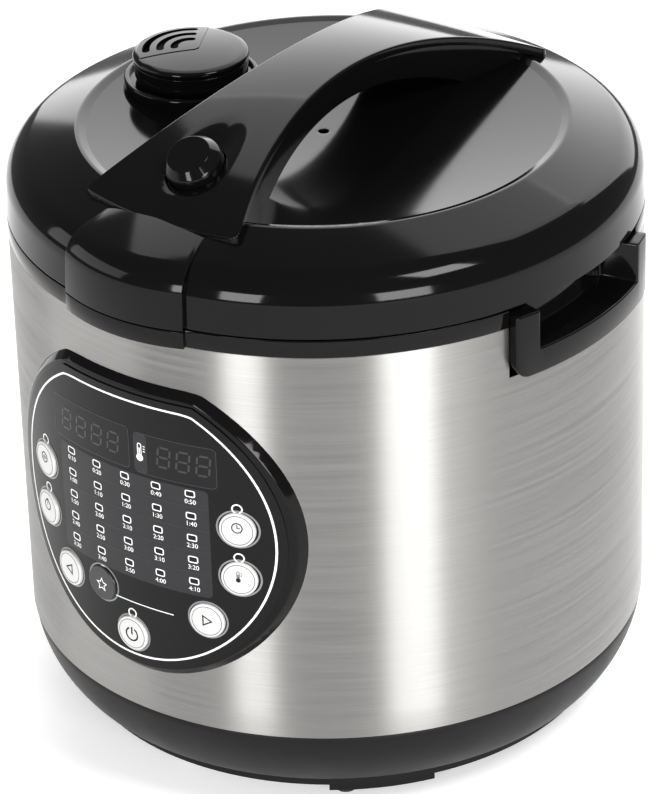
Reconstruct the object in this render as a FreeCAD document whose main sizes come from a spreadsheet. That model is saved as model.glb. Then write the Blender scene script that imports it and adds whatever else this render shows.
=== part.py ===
import FreeCAD, Part
import math
import os
import re
import Sketcher

# A hinged-lid multicooker: steel drum on a black base, domed lid with a bridge handle,
# steam vent, release button, and a curved control panel.
# Frame: millimetres, +Z up, origin on the floor under the drum's axis, front towards -Y.

# Every size that can be set by itself. The drum's radius leads: what stands on, in or round
# the drum is given by how far it sets back from it or stands proud of it.
SIZES = {
    # drum
    "steel_radius": 137, "steel_wall": 0.8, "steel_bottom": 44, "steel_height": 183.6,
    "fit": 0.3, "slip": 0.05,
    # base
    "base_setback": 0.4, "base_groove": 0.5, "base_curve": 48, "base_wall": 3,
    "neck_setback": 13.9, "neck_z": 14.2, "lip_width": 19.1, "spigot_wall": 2.4, "spigot_height": 8,
    "plate_setback": 5.1, "plate_z": 7.7, "plate_wall": 2.5,
    "pad_z": 3.5, "pad_width": 15, "pad_setback": 2, "pad_span": 23, "pad_turn": 46.5,
    "foot_radius": 5.5, "foot_setback": 8, "foot_turn": 38.6, "foot_seat": 1.5, "foot_bevel": 1,
    "vent_slot_inner": 54, "vent_slot_length": 30, "vent_slot_half": 1.6, "vent_slot_bow": 0.32,
    "vent_slot_count": 16,
    "screw_radius": 1.5, "screw_head_radius": 3, "screw_head": 2, "screw_boss_radius": 4.2,
    "base_screw_setback": 8.5,
    # collar on top of the drum
    "collar_proud": 0.2, "collar_height": 7.6, "collar_wall": 6.2, "collar_skirt": 13.6,
    "ledge_gap": 3, "ledge_drop": 11.6, "ledge_wall": 2.6,
    # carry handles
    "grip_half_turn": 19.5, "grip_proud": 5, "grip_depth": 14.5, "grip_drop": 23.1,
    "grip_bar": 11.5, "grip_floor": 3.5, "grip_top_drop": 1.8, "grip_post_turn": 5, "grip_wall": 2.3,
    "grip_corner": 7, "grip_bar_depth": 8.5, "grip_margin": 0.15,
    # cooking pot, liner and heater
    "pot_setback": 27, "pot_wall": 2, "pot_flange": 9, "pot_bottom": 78, "pot_corner": 14,
    "liner_gap": 1.6, "liner_wall": 0.8, "liner_bottom": 59, "liner_flange_width": 4.9,
    "heater_setback": 22, "heater_thick": 8, "heater_hole": 17, "heater_bevel": 3,
    "element_setback": 26, "element_radius": 4.5, "element_turn": 320,
    "heater_post_radius": 4, "heater_post_setback": 10,
    "sensor_radius": 14, "sensor_cap": 6, "sensor_bevel": 1, "sensor_stem": 5, "sensor_stem_length": 24,
    "sensor_gap": 0.2, "sensor_sleeve_radius": 8, "sensor_sleeve": 14, "sensor_hole": 12,
    "sensor_flange": 18, "sensor_flange_wall": 2, "sensor_wire": 0.7, "sensor_coil": 9.5,
    # power board
    "board_length": 96, "board_width": 62, "board_thick": 1.6, "board_z": 26, "board_post_radius": 3.6,
    "board_post_inset": 6,
    "transformer_length": 30, "transformer_width": 26, "transformer_height": 22,
    "relay_length": 19, "relay_width": 15, "relay_height": 15,
    "capacitor_radius": 6, "capacitor_height": 18, "part_spacing": 21,
    # mains inlet
    "inlet_rise": 24, "inlet_width": 31, "inlet_tall": 24, "inlet_proud": 2.4, "inlet_depth": 20,
    "inlet_flange": 2.2, "inlet_socket_width": 24, "inlet_socket_tall": 16.6, "inlet_socket_depth": 15,
    "inlet_rim": 1.8, "inlet_corner": 4.5,
    "pin_width": 2, "pin_tall": 4, "pin_length": 13, "pin_spread": 7, "pin_drop": 2, "pin_tail": 6,
    # control panel
    "panel_gap": 10, "panel_radius": 74.5, "panel_chord_drop": 8, "panel_thick": 3.3, "panel_soft": 3.1,
    "panel_corner": 16, "overlay_inset": 4, "overlay_thick": 0.8, "window_inset": 10.5, "frame_wall": 2.4,
    "control_setback": 1.6,
    "display_width": 28, "display_tall": 13, "led_width": 3, "led_tall": 2, "led_height": 1.2,
    # push buttons on the panel
    "button_radius": 8, "button_proud": 1.2, "button_travel": 0.8, "button_head": 4.6, "button_bevel": 0.7,
    "button_stem": 2, "switch_size": 6, "switch_height": 2,
    # places on the panel, in hundredths of its radius, so that they spread with it
    "display_rise": 49.7, "left_reach": 26.8, "right_reach": 28.2,
    "led_column": 21.5, "led_row": 14.16, "led_rise": 28.2,
    "upper_reach": 28.86, "upper_rise": 10.1, "middle_drop": 21.5, "arrow_reach": 20.54, "arrow_drop": 52.3,
    "favourite_reach": 8.72, "favourite_drop": 49.7, "power_reach": 0, "power_drop": 75.1,
    # lid shell
    "lid_gap": 0.6, "lid_proud": 0.2, "lid_draft": 1.2, "lid_wall_height": 14.6, "shoulder_radius": 12,
    "lid_slope": 21, "rim_width": 32.2, "dish_depth": 7.2, "dish_draft": 2.5, "lid_wall": 2.5,
    "centre_hole": 2.2, "nose_proud": 5.1, "nose_radius": 80, "nose_half_turn": 12.9, "nose_slope": 15.8,
    "lid_screw_setback": 12.2, "lid_screw_turn": 45, "lid_screw_cover": 2.9, "boss_sink": 0.8,
    # lid underside
    "liner_plate": 2.5, "skirt_gap": 5.5, "skirt_wall": 2.5, "skirt_depth": 6.8,
    "inner_lid_overlap": 5, "inner_lid_wall": 1.2, "inner_lid_drop": 3.6, "inner_lid_step": 2,
    "inner_lid_brim": 17, "gasket_wall": 5.2, "gasket_lip": 2,
    "grommet_radius": 4.5, "grommet_head": 9, "grommet_head_height": 3,
    # steam vent
    "vent_setback": 33, "vent_tube": 9, "vent_tube_wall": 1.6, "vent_collar_radius": 29.5,
    "vent_collar_height": 9, "vent_collar_wall": 5.5, "vent_floor": 2.5,
    "cap_setback": 4.2, "cap_height": 11.5, "cap_edge": 2.4, "cap_wall": 2.2, "cap_skirt": 6.5,
    "cap_slot_inner": 5.4, "cap_slot_pitch": 6.2, "cap_slot_width": 2.8, "cap_slot_turn": 94,
    "cap_slot_aim": 4,
    # bridge handle
    "bridge_rise": 28.8, "bridge_crown": 28.75, "bridge_half_width": 16.8, "bridge_flare": 23.9,
    "bridge_overlap": 4.4, "bridge_bow": 4.1, "bridge_skin": 4, "bridge_depth": 12, "bridge_inset": 1.6,
    "leg_depth": 31, "bridge_split": 0.2, "bridge_margin": 1, "bridge_screw_x": 16, "bridge_screw_setback": 9,
    "bridge_screw_cover": 0.8,
    # release button and latch
    "release_setback": 22.4, "release_drop": 16.35, "release_tilt": 30, "release_radius": 12.6,
    "release_top_radius": 9.6, "release_proud": 8, "release_skirt": 9, "release_travel": 3, "release_stem": 4,
    "release_end": 36, "release_wall": 2, "release_bevel": 1.2, "release_floor": 1, "release_wire": 0.6,
    "release_coil": 7,
    "latch_half": 7, "latch_thick": 3, "latch_offset": 7, "latch_post": 14, "latch_tooth": 3,
    "latch_tooth_drop": 7.6, "latch_hook": 2.4, "latch_hook_height": 3, "latch_travel": 3, "catch_depth": 3,
    # hinge
    "hinge_proud": 1.3, "hinge_barrel": 3.6, "hinge_pin": 1.6, "hinge_half": 28, "hinge_knuckle_x": 17,
    "hinge_knuckle": 9, "hinge_web": 8,
}

# Sums that follow from the sizes, written with their names.
DERIVED = {
    "steel_inner": "steel_radius - steel_wall",
    "steel_top": "steel_bottom + steel_height",
    "spigot_radius": "steel_inner - fit",
    "base_radius": "steel_radius - base_setback",
    "base_top": "steel_bottom - base_groove",
    "neck_radius": "steel_radius - neck_setback",
    "lip_radius": "neck_radius - lip_width",
    "plate_radius": "neck_radius - plate_setback",
    "plate_top": "plate_z + plate_wall",
    "pad_outer": "plate_radius - pad_setback",
    "pad_inner": "pad_outer - pad_width",
    "foot_ring": "pad_outer - foot_setback",
    "vent_slot_outer": "vent_slot_inner + vent_slot_length",
    "vent_slot_end": "vent_slot_half + vent_slot_bow",
    "base_screw_ring": "plate_radius - base_screw_setback",
    "seam_z": "steel_top + collar_height",
    "collar_radius": "steel_radius + collar_proud",
    "collar_inner": "collar_radius - collar_wall",
    "ledge_radius": "pot_outer + ledge_gap",
    "ledge_z": "seam_z - ledge_drop",
    "collar_web": "spigot_radius - spigot_wall",
    "grip_reach": "steel_radius + grip_proud",
    "grip_inner": "steel_radius - grip_depth",
    "grip_bottom": "steel_top - grip_drop",
    "grip_top": "seam_z - grip_top_drop",
    "grip_sill": "grip_bottom + grip_bar",
    "pot_radius": "steel_radius - pot_setback",
    "pot_outer": "pot_radius + pot_wall",
    "pot_flange_radius": "pot_radius + pot_flange",
    "pot_flange_z": "ledge_z + pot_wall",
    "liner_radius": "pot_outer + liner_gap",
    "liner_flange": "liner_radius + liner_flange_width",
    "liner_top": "ledge_z - ledge_wall",
    "liner_floor": "liner_bottom + liner_wall",
    "heater_radius": "pot_radius - heater_setback",
    "heater_bottom": "pot_bottom - heater_thick",
    "heater_post_ring": "heater_radius - heater_post_setback",
    "element_ring": "heater_radius - element_setback",
    "sensor_top": "pot_bottom - sensor_gap",
    "sensor_seat": "liner_floor + sensor_flange_wall",
    "inlet_z": "steel_bottom + inlet_rise",
    "inlet_reach": "steel_radius + inlet_proud",
    "panel_chord": "panel_radius - panel_chord_drop",
    "window_radius": "panel_radius - window_inset",
    "panel_z": "steel_top - collar_skirt - panel_gap - window_radius",
    "panel_unit": "(panel_radius / 100)",
    "panel_inner": "steel_radius + slip",
    "panel_face": "panel_inner + panel_thick",
    "panel_out": "panel_face + overlay_thick",
    "control_y": "sqrt(panel_inner ^ 2 - window_radius ^ 2) - control_setback",
    "control_face": "control_y + board_thick",
    "switch_top": "control_face + switch_height",
    "display_z": "panel_z + display_rise * panel_unit",
    "display_left_x": "-left_reach * panel_unit",
    "display_right_x": "right_reach * panel_unit",
    "led_top": "panel_z + led_rise * panel_unit",
    "upper_turn": "(upper_reach * panel_unit)",
    "upper_z": "panel_z + upper_rise * panel_unit",
    "middle_z": "panel_z - middle_drop * panel_unit",
    "arrow_turn": "(arrow_reach * panel_unit)",
    "arrow_z": "panel_z - arrow_drop * panel_unit",
    "favourite_turn": "(favourite_reach * panel_unit)",
    "favourite_z": "panel_z - favourite_drop * panel_unit",
    "power_turn": "(power_reach * panel_unit)",
    "power_z": "panel_z - power_drop * panel_unit",
    "lid_bottom": "seam_z + lid_gap",
    "lid_radius": "steel_radius + lid_proud",
    "wall_top_z": "lid_bottom + lid_wall_height",
    "wall_top_r": "lid_radius - lid_draft",
    "shoulder_r": "wall_top_r - shoulder_radius * (1 - sin(lid_slope))",
    "shoulder_z": "wall_top_z + shoulder_radius * cos(lid_slope)",
    "dish_radius": "lid_radius - rim_width",
    "rim_z": "shoulder_z + (shoulder_r - dish_radius) * tan(lid_slope)",
    "dish_z": "rim_z - dish_depth",
    "inner_shoulder_r": "shoulder_r - lid_wall * sin(lid_slope)",
    "inner_shoulder_z": "shoulder_z - lid_wall * cos(lid_slope)",
    "under_rim_r": "dish_radius + lid_wall",
    "under_rim_z": "inner_shoulder_z + (inner_shoulder_r - under_rim_r) * tan(lid_slope)",
    "nose_reach": "lid_radius + nose_proud",
    "nose_axis": "nose_reach - nose_radius",
    "lid_screw_ring": "lid_radius - lid_screw_setback",
    "lid_screw": "lid_wall_height - lid_screw_cover",
    "liner_rim": "lid_radius - lid_wall - fit",
    "liner_plate_top": "lid_bottom + liner_plate",
    "inner_lid_radius": "pot_radius + inner_lid_overlap",
    "inner_lid_land": "inner_lid_radius - inner_lid_brim",
    "skirt_radius": "inner_lid_radius + skirt_gap",
    "inner_lid_top": "lid_bottom - inner_lid_drop",
    "inner_lid_z": "inner_lid_top - inner_lid_wall",
    "vent_x": "vent_setback - dish_radius",
    "vent_seat": "dish_z + vent_floor",
    "vent_collar_top": "dish_z + vent_collar_height",
    "vent_bore": "vent_collar_radius - vent_collar_wall",
    "cap_radius": "vent_collar_radius - cap_setback",
    "cap_bottom": "vent_collar_top + fit",
    "cap_top": "cap_bottom + cap_height",
    "bridge_top_z": "rim_z + bridge_rise",
    "bridge_end": "dish_radius + bridge_overlap",
    "bridge_nose": "bridge_end + bridge_bow",
    "bridge_arch": "(bridge_end ^ 2 + bridge_crown ^ 2) / (2 * bridge_crown)",
    "bridge_scallop": "(bridge_end ^ 2 + bridge_flare ^ 2) / (2 * bridge_flare)",
    "leg_inner": "dish_radius - leg_depth",
    "bridge_screw_y": "dish_radius - bridge_screw_setback",
    "bridge_under": "sqrt((bridge_arch - bridge_skin) ^ 2 - bridge_screw_y ^ 2)",
    "bridge_under_z": "bridge_top_z - bridge_arch + bridge_under",
    "bridge_screw": "bridge_under_z - dish_z - bridge_screw_cover",
    "release_y": "release_setback - bridge_end",
    "release_z": "bridge_top_z - release_drop",
    "hinge_y": "collar_radius + hinge_proud",
    "hinge_z": "lid_bottom - hinge_barrel - fit",
    "latch_z": "liner_plate_top + fit",
    "latch_front": "collar_inner - fit",
    "latch_tail": "-release_y - release_end * sin(release_tilt) - latch_offset",
}

# Each push button on the panel: its angle from the front, its height above the floor, its side.
PANEL_BUTTONS = {
    "clock_button": ("upper_turn", "upper_z", 1),
    "warm_button": ("upper_turn", "upper_z", -1),
    "heat_button": ("upper_turn", "middle_z", 1),
    "delay_button": ("upper_turn", "middle_z", -1),
    "next_button": ("arrow_turn", "arrow_z", 1),
    "back_button": ("arrow_turn", "arrow_z", -1),
    "favourite_button": ("favourite_turn", "favourite_z", -1),
    "power_button": ("power_turn", "power_z", 1),
}
LED_ROWS = 5
LED_COLUMNS = 5

FULL_TURN = 360
QUARTER_TURN = 90
QUARTERS = 4
HEATER_POSTS = 3
CAP_SLOTS = 3
SPRING_TURNS = 3
WIRE_SIDES = 6
# Longer than the whole object, for cuts right through it.
REACH = 400
# How near an edge must lie to a place to be picked there.
NEAR = 0.5
TOUCH = 0.01

doc = FreeCAD.newDocument("multicooker")
sheet = doc.addObject("Spreadsheet::Sheet", "Sizes")
for row, (alias, value) in enumerate(SIZES.items(), start=1):
    sheet.set("A%d" % row, alias)
    sheet.set("B%d" % row, str(value))
    sheet.setAlias("B%d" % row, alias)
doc.recompute()

nodes = []


def bound(text):
    """Turn a sum written with the size names into an expression on the sheet."""
    def swap(match):
        word = match.group(0)
        if word in DERIVED:
            return "(" + bound(DERIVED[word]) + ")"
        return "Sizes." + word if word in SIZES else word
    return re.sub(r"[a-z_]+", swap, str(text))


def number(text):
    """The present value of such a sum."""
    return float(sheet.evalExpression(bound(text)))


def name_node(item, label):
    item.Label = label
    nodes.append(item)
    return item


def new_body(label):
    return doc.addObject("PartDesign::Body", label)


def new_sketch(body, plane, name, shift=None):
    """A sketch on one of the body's own planes, moved by shift = (axis, sum)."""
    sketch = body.newObject("Sketcher::SketchObject", name)
    support = [item for item in body.Origin.OriginFeatures if item.Role == plane][0]
    sketch.AttachmentSupport = [(support, "")]
    sketch.MapMode = "FlatFace"
    if shift:
        sketch.setExpression("AttachmentOffset.Base." + shift[0], bound(shift[1]))
    return sketch


def pin_point(sketch, element, end, place):
    """Hold one point of a sketch at a place given by two sums."""
    for kind, text in zip(("DistanceX", "DistanceY"), place):
        row = sketch.addConstraint(Sketcher.Constraint(kind, -1, 1, element, end, number(text)))
        sketch.setExpression("Constraints[%d]" % row, bound(text))


def hold_radius(sketch, element, text):
    row = sketch.addConstraint(Sketcher.Constraint("Radius", element, number(text)))
    sketch.setExpression("Constraints[%d]" % row, bound(text))


def arc_between(start, finish, radius, turn, large):
    """The arc from start to finish; turn is 1 to the left and -1 to the right."""
    chord = finish - start
    rise = math.sqrt(max(radius ** 2 - chord.Length ** 2 / 4, 0))
    side = FreeCAD.Vector(-chord.y, chord.x, 0).normalize()
    centre = (start + finish) * 0.5 + side * (rise * turn * (-1 if large else 1))
    first, last = (start, finish) if turn > 0 else (finish, start)
    angles = [math.atan2(point.y - centre.y, point.x - centre.x) for point in (first, last)]
    return Part.ArcOfCircle(Part.Circle(centre, FreeCAD.Vector(0, 0, 1), radius), *angles)


def draw(sketch, corners):
    """A closed outline: corners (x, y), or (x, y, radius, turn[, large]) where an arc leads on."""
    first = sketch.GeometryCount
    points = [FreeCAD.Vector(number(corner[0]), number(corner[1]), 0) for corner in corners]
    ends = []
    for index, corner in enumerate(corners):
        start = points[index]
        finish = points[(index + 1) % len(points)]
        if len(corner) == 2:
            sketch.addGeometry(Part.LineSegment(start, finish), False)
            ends.append((1, 2))
        else:
            radius, turn, large = number(corner[2]), corner[3], len(corner) == 5
            sketch.addGeometry(arc_between(start, finish, radius, turn, large), False)
            ends.append((1, 2) if turn > 0 else (2, 1))
    for index in range(len(corners)):
        after = (index + 1) % len(corners)
        joint = (first + index, ends[index][1], first + after, ends[after][0])
        sketch.addConstraint(Sketcher.Constraint("Coincident", *joint))
    for index, corner in enumerate(corners):
        pin_point(sketch, first + index, ends[index][0], corner[:2])
        if len(corner) > 2:
            hold_radius(sketch, first + index, corner[2])


def draw_circle(sketch, x, y, radius):
    centre = FreeCAD.Vector(number(x), number(y), 0)
    ring = sketch.addGeometry(Part.Circle(centre, FreeCAD.Vector(0, 0, 1), number(radius)), False)
    pin_point(sketch, ring, 3, (x, y))
    hold_radius(sketch, ring, radius)


def draw_box(sketch, left, right, low, high):
    draw(sketch, [(left, low), (right, low), (right, high), (left, high)])


def turned(body, name, corners, turn=None, kind="Revolution", plane="XZ_Plane", shift=None):
    """A solid (or a groove) turned about the sketch's upright axis, whole or by a half-and-half angle."""
    sketch = new_sketch(body, plane, name + "_profile", shift)
    draw(sketch, corners)
    feature = body.newObject("PartDesign::" + kind, name)
    feature.Profile = sketch
    feature.ReferenceAxis = (sketch, ["V_Axis"])
    feature.Angle = FULL_TURN
    if turn:
        feature.Midplane = True
        feature.setExpression("Angle", bound(turn))
    return feature


def padded(body, name, sketch, length, both=False, flip=False):
    feature = body.newObject("PartDesign::Pad", name)
    feature.Profile = sketch
    feature.setExpression("Length", bound(length))
    feature.Midplane = both
    feature.Reversed = flip
    return feature


def pocketed(body, name, sketch, both=True, flip=False):
    """Cut right through along the sketch's normal."""
    feature = body.newObject("PartDesign::Pocket", name)
    feature.Profile = sketch
    feature.Type = "ThroughAll"
    feature.Midplane = both
    feature.Reversed = flip
    return feature


def pocket_to(body, name, sketch, length, flip=False):
    """Cut a blind pocket of a given depth from the sketch's plane."""
    feature = body.newObject("PartDesign::Pocket", name)
    feature.Profile = sketch
    feature.setExpression("Length", bound(length))
    feature.Reversed = flip
    return feature


def repeated(body, name, features, count):
    """Repeat features evenly round the drum's axis."""
    pattern = body.newObject("PartDesign::PolarPattern", name)
    pattern.Originals = features
    axis = [item for item in body.Origin.OriginFeatures if item.Role == "Z_Axis"][0]
    pattern.Axis = (axis, [""])
    pattern.Angle = FULL_TURN
    pattern.setExpression("Occurrences", bound(count))
    body.Tip = pattern
    return pattern


def rounded(body, name, radius, choose):
    """Round the body's edges that choose picks."""
    doc.recompute()
    base = body.Tip
    picked = ["Edge%d" % (i + 1) for i, edge in enumerate(base.Shape.Edges) if choose(edge)]
    feature = body.newObject("PartDesign::Fillet", name)
    feature.Base = (base, picked)
    feature.setExpression("Radius", bound(radius))
    return feature


def place(item, x=0, y=0, z=0, yaw=0, pitch=0, roll=0):
    """Put an item at a place and turn it about Z, Y and X, all by sums."""
    spot = ["(%s)" % bound(part) for part in (x, y, z)]
    turn = ["(%s)" % bound(part) for part in (yaw, pitch, roll)]
    item.setExpression("Placement", "placement(vector(%s); rotation(%s))" % (";".join(spot), ";".join(turn)))
    return item


def rod(label, radius, length, turn=None, **where):
    item = doc.addObject("Part::Cylinder", label)
    item.setExpression("Radius", bound(radius))
    item.setExpression("Height", bound(length))
    if turn:
        item.setExpression("Angle", bound(turn))
    return place(item, **where)


def block(label, length, width, height, **where):
    item = doc.addObject("Part::Box", label)
    for key, text in (("Length", length), ("Width", width), ("Height", height)):
        item.setExpression(key, bound(text))
    return place(item, **where)


def joined(label, *items):
    item = doc.addObject("Part::MultiFuse", label)
    item.Shapes = list(items)
    return item


def cut(label, base, tool):
    item = doc.addObject("Part::Cut", label)
    item.Base = base
    item.Tool = tool
    return item


def shared(label, base, tool):
    item = doc.addObject("Part::Common", label)
    item.Base = base
    item.Tool = tool
    return item


def group(label, items):
    item = doc.addObject("Part::Compound", label)
    item.Links = list(items)
    return item


def spring(label, coil, wire, length, **where):
    """A coil of round wire standing on its own XY plane."""
    spine = doc.addObject("Part::Helix", label + "_line")
    spine.setExpression("Radius", bound(coil))
    spine.setExpression("Height", bound("%s - 2 * %s" % (length, wire)))
    spine.setExpression("Pitch", bound("(%s - 2 * %s) / %d" % (length, wire, SPRING_TURNS)))
    section = doc.addObject("Part::RegularPolygon", label + "_wire")
    section.Polygon = WIRE_SIDES
    section.setExpression("Circumradius", bound(wire))
    place(section, x=coil, roll=QUARTER_TURN)
    coil_solid = doc.addObject("Part::Sweep", label)
    coil_solid.Sections = [section]
    coil_solid.Spine = (spine, [])
    coil_solid.Solid = True
    coil_solid.Frenet = True
    return place(coil_solid, **where)


def screw(label, length, **where):
    """A pan-head screw standing on its head, thread plain."""
    body = new_body(label)
    turned(body, label + "_turned", [
        ("0", "0"), ("screw_head_radius", "0"), ("screw_head_radius", "screw_head"),
        ("screw_radius", "screw_head"), ("screw_radius", "screw_head + %s" % length),
        ("0", "screw_head + %s" % length)])
    return place(body, **where)


# Base: a bowl-shaped shell, the plate that closes it, feet and screws.

def make_base():
    shell = new_body("base_shell_turned")
    turned(shell, "base_shell_ring", [
        ("base_radius", "base_top", "base_curve", -1),
        ("neck_radius", "neck_z"), ("lip_radius", "neck_z"), ("lip_radius", "neck_z + base_wall"),
        ("neck_radius - base_wall", "neck_z + base_wall", "base_curve - base_wall", 1),
        ("spigot_radius - spigot_wall", "base_top"),
        ("spigot_radius - spigot_wall", "base_top + spigot_height"),
        ("spigot_radius", "base_top + spigot_height"), ("spigot_radius", "base_top")])
    holes = new_sketch(shell, "XY_Plane", "base_shell_holes")
    draw_circle(holes, "base_screw_ring", "0", "screw_radius + slip")
    drilled = pocketed(shell, "base_shell_drilled", holes)
    repeated(shell, "base_shell_drill_ring", [drilled], QUARTERS)
    name_node(shell, "base_shell")

    plate = new_body("base_plate_turned")
    turned(plate, "base_plate_cup", [
        ("0", "plate_z"), ("plate_radius", "plate_z"), ("plate_radius", "neck_z"),
        ("plate_radius - plate_wall", "neck_z"), ("plate_radius - plate_wall", "plate_top"),
        ("0", "plate_top")])
    boss = new_sketch(plate, "XY_Plane", "base_plate_boss_profile", ("z", "plate_z"))
    draw_circle(boss, "base_screw_ring", "0", "screw_boss_radius")
    bosses = padded(plate, "base_plate_boss", boss, "neck_z - plate_z")
    repeated(plate, "base_plate_boss_ring", [bosses], QUARTERS)
    posts = new_sketch(plate, "XY_Plane", "base_plate_post_profile", ("z", "plate_z"))
    for side in (-1, 1):
        for end in (-1, 1):
            draw_circle(posts, "%d * (board_length / 2 - board_post_inset)" % side,
                        "%d * (board_width / 2 - board_post_inset)" % end, "board_post_radius")
    padded(plate, "base_plate_posts", posts, "board_z - plate_z")
    slot = new_sketch(plate, "XY_Plane", "base_plate_slot_profile")
    draw(slot, [
        ("vent_slot_inner", "-vent_slot_half"), ("vent_slot_outer", "-vent_slot_half", "vent_slot_end", 1),
        ("vent_slot_outer", "vent_slot_half"), ("vent_slot_inner", "vent_slot_half", "vent_slot_end", 1)])
    slots = pocketed(plate, "base_plate_slot", slot)
    repeated(plate, "base_plate_slots", [slots], "vent_slot_count")
    drill = new_sketch(plate, "XY_Plane", "base_plate_holes")
    draw_circle(drill, "base_screw_ring", "0", "screw_radius + fit")
    drilled = pocketed(plate, "base_plate_drilled", drill)
    repeated(plate, "base_plate_drill_ring", [drilled], QUARTERS)

    pads = []
    wells = []
    feet = []
    for quarter in range(QUARTERS):
        pad = new_body("base_pad_%d" % quarter)
        turned(pad, "base_pad_sector_%d" % quarter, [
            ("pad_inner", "pad_z"), ("pad_outer", "pad_z"), ("pad_outer", "plate_z"),
            ("pad_inner", "plate_z")], turn="pad_span")
        pads.append(place(pad, yaw="pad_turn + %d" % (QUARTER_TURN * (quarter - 1))))
        angle = "(foot_turn + %d)" % (QUARTER_TURN * quarter)
        spot = {"x": "foot_ring * sin%s" % angle, "y": "-foot_ring * cos%s" % angle}
        wells.append(rod("foot_well_%d" % quarter, "foot_radius + slip", "pad_z + foot_seat", **spot))
        foot = new_body("rubber_foot_%d" % quarter)
        turned(foot, "rubber_foot_turned_%d" % quarter, [
            ("0", "0"), ("foot_radius - foot_bevel", "0"), ("foot_radius", "foot_bevel"),
            ("foot_radius", "pad_z + foot_seat"), ("0", "pad_z + foot_seat")])
        feet.append(place(foot, **spot))
    cup = joined("base_plate_with_pads", plate, *pads)
    name_node(cut("base_plate_drilled_pads", cup, joined("foot_wells", *wells)), "base_plate")
    name_node(group("rubber_feet_set", feet), "rubber_feet")
    screws = []
    for quarter in range(QUARTERS):
        angle = QUARTER_TURN * quarter
        screws.append(screw("base_screw_%d" % quarter, "neck_z + base_wall - plate_z",
                            x="base_screw_ring * cos(%d)" % angle, y="base_screw_ring * sin(%d)" % angle,
                            z="plate_z - screw_head"))
    name_node(group("base_screw_set", screws), "base_screws")


# Drum: the brushed steel shell with its windows for the panel, the inlet and the grips.

def grip_groove(body, name, inner, low, margin):
    """Clear the two side sectors that the carry handles fill."""
    groove = turned(body, name, [
        (inner, low), ("grip_reach * 2", low), ("grip_reach * 2", "lid_bottom"), (inner, "lid_bottom")],
        turn="2 * (grip_half_turn + %s)" % margin, kind="Groove")
    repeated(body, name + "_pair", [groove], 2)


def make_drum():
    shell = new_body("outer_shell_turned")
    turned(shell, "outer_shell_ring", [
        ("steel_inner", "steel_bottom"), ("steel_radius", "steel_bottom"),
        ("steel_radius", "steel_top"), ("steel_inner", "steel_top")])
    grip_groove(shell, "outer_shell_grip_gap", "steel_inner / 2", "grip_bottom - fit", "grip_margin")
    window = new_sketch(shell, "XZ_Plane", "outer_shell_window_profile")
    draw_circle(window, "0", "panel_z", "window_radius")
    pocketed(shell, "outer_shell_window", window, both=False, flip=True)
    socket = new_sketch(shell, "XZ_Plane", "outer_shell_socket_profile")
    half = "(inlet_width / 2 - inlet_rim + fit)"
    tall = "(inlet_tall / 2 - inlet_rim + fit)"
    draw_box(socket, "-" + half, half, "inlet_z - " + tall, "inlet_z + " + tall)
    pocketed(shell, "outer_shell_socket", socket, both=False)
    name_node(shell, "outer_shell")


# Collar: the black ring on the drum, with the ledge for the pot and the hinge barrel.

def nose_wedge(label, corners, rear):
    """The sector about the drum's axis that a front or rear nose may fill."""
    body = new_body(label)
    turned(body, label + "_sector", corners, turn="2 * nose_half_turn", plane="YZ_Plane")
    return place(body, yaw=0 if rear else 180)


def along_hinge(label, radius, half, middle="0"):
    """A round bar on the hinge's axis, so long to either side of a middle."""
    return rod(label, radius, "2 * " + half, x="%s - %s" % (middle, half), y="hinge_y", z="hinge_z",
               pitch=QUARTER_TURN)


def make_collar():
    ring = new_body("collar_turned")
    turned(ring, "collar_ring", [
        ("collar_radius", "steel_top"), ("collar_radius", "seam_z"), ("collar_inner", "seam_z"),
        ("collar_inner", "ledge_z"), ("ledge_radius", "ledge_z"), ("ledge_radius", "liner_top"),
        ("collar_web", "liner_top"), ("collar_web", "steel_top - collar_skirt"),
        ("spigot_radius", "steel_top - collar_skirt"), ("spigot_radius", "steel_top")])
    grip_groove(ring, "collar_grip_gap", "grip_inner - fit", "steel_top - 2 * collar_skirt", "grip_margin")
    catch = new_sketch(ring, "XZ_Plane", "collar_catch_profile")
    draw_box(catch, "-latch_half - fit", "latch_half + fit",
             "lid_bottom - latch_tooth_drop - fit", "lid_bottom - latch_tooth_drop + latch_hook_height + fit")
    pocket_to(ring, "collar_catch", catch, "collar_inner + catch_depth", flip=True)
    nose = rod("collar_nose_rod", "nose_radius", "collar_height", y="-nose_axis", z="steel_top")
    wedge = nose_wedge("collar_nose_wedge", [
        ("collar_inner + catch_depth", "steel_top"), ("nose_reach * 2", "steel_top"),
        ("nose_reach * 2", "seam_z"), ("collar_inner + catch_depth", "seam_z")], rear=False)
    front = shared("collar_nose", nose, wedge)
    barrel = along_hinge("hinge_barrel_rod", "hinge_barrel", "hinge_half")
    web = block("hinge_barrel_web", "2 * hinge_half", "hinge_web", "seam_z - hinge_z + hinge_barrel",
                x="-hinge_half", y="hinge_y - hinge_web", z="hinge_z - hinge_barrel")
    solid = joined("collar_with_nose", ring, front, barrel, web)
    cuts = [along_hinge("collar_pin_hole", "hinge_pin + slip", "hinge_half")]
    gap = "(hinge_barrel + fit)"
    for side in (-1, 1):
        cuts.append(block("collar_knuckle_gap_%d" % (side + 1), "hinge_knuckle + 2 * fit", "nose_reach",
                          "nose_reach", x="%d * hinge_knuckle_x - hinge_knuckle / 2 - fit" % side,
                          y="hinge_y - " + gap, z="hinge_z - " + gap))
    name_node(cut("collar_cut", solid, joined("collar_cutters", *cuts)), "top_collar")
    name_node(along_hinge("hinge_pin_rod", "hinge_pin", "(hinge_half - fit)"), "hinge_pin")


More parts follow.
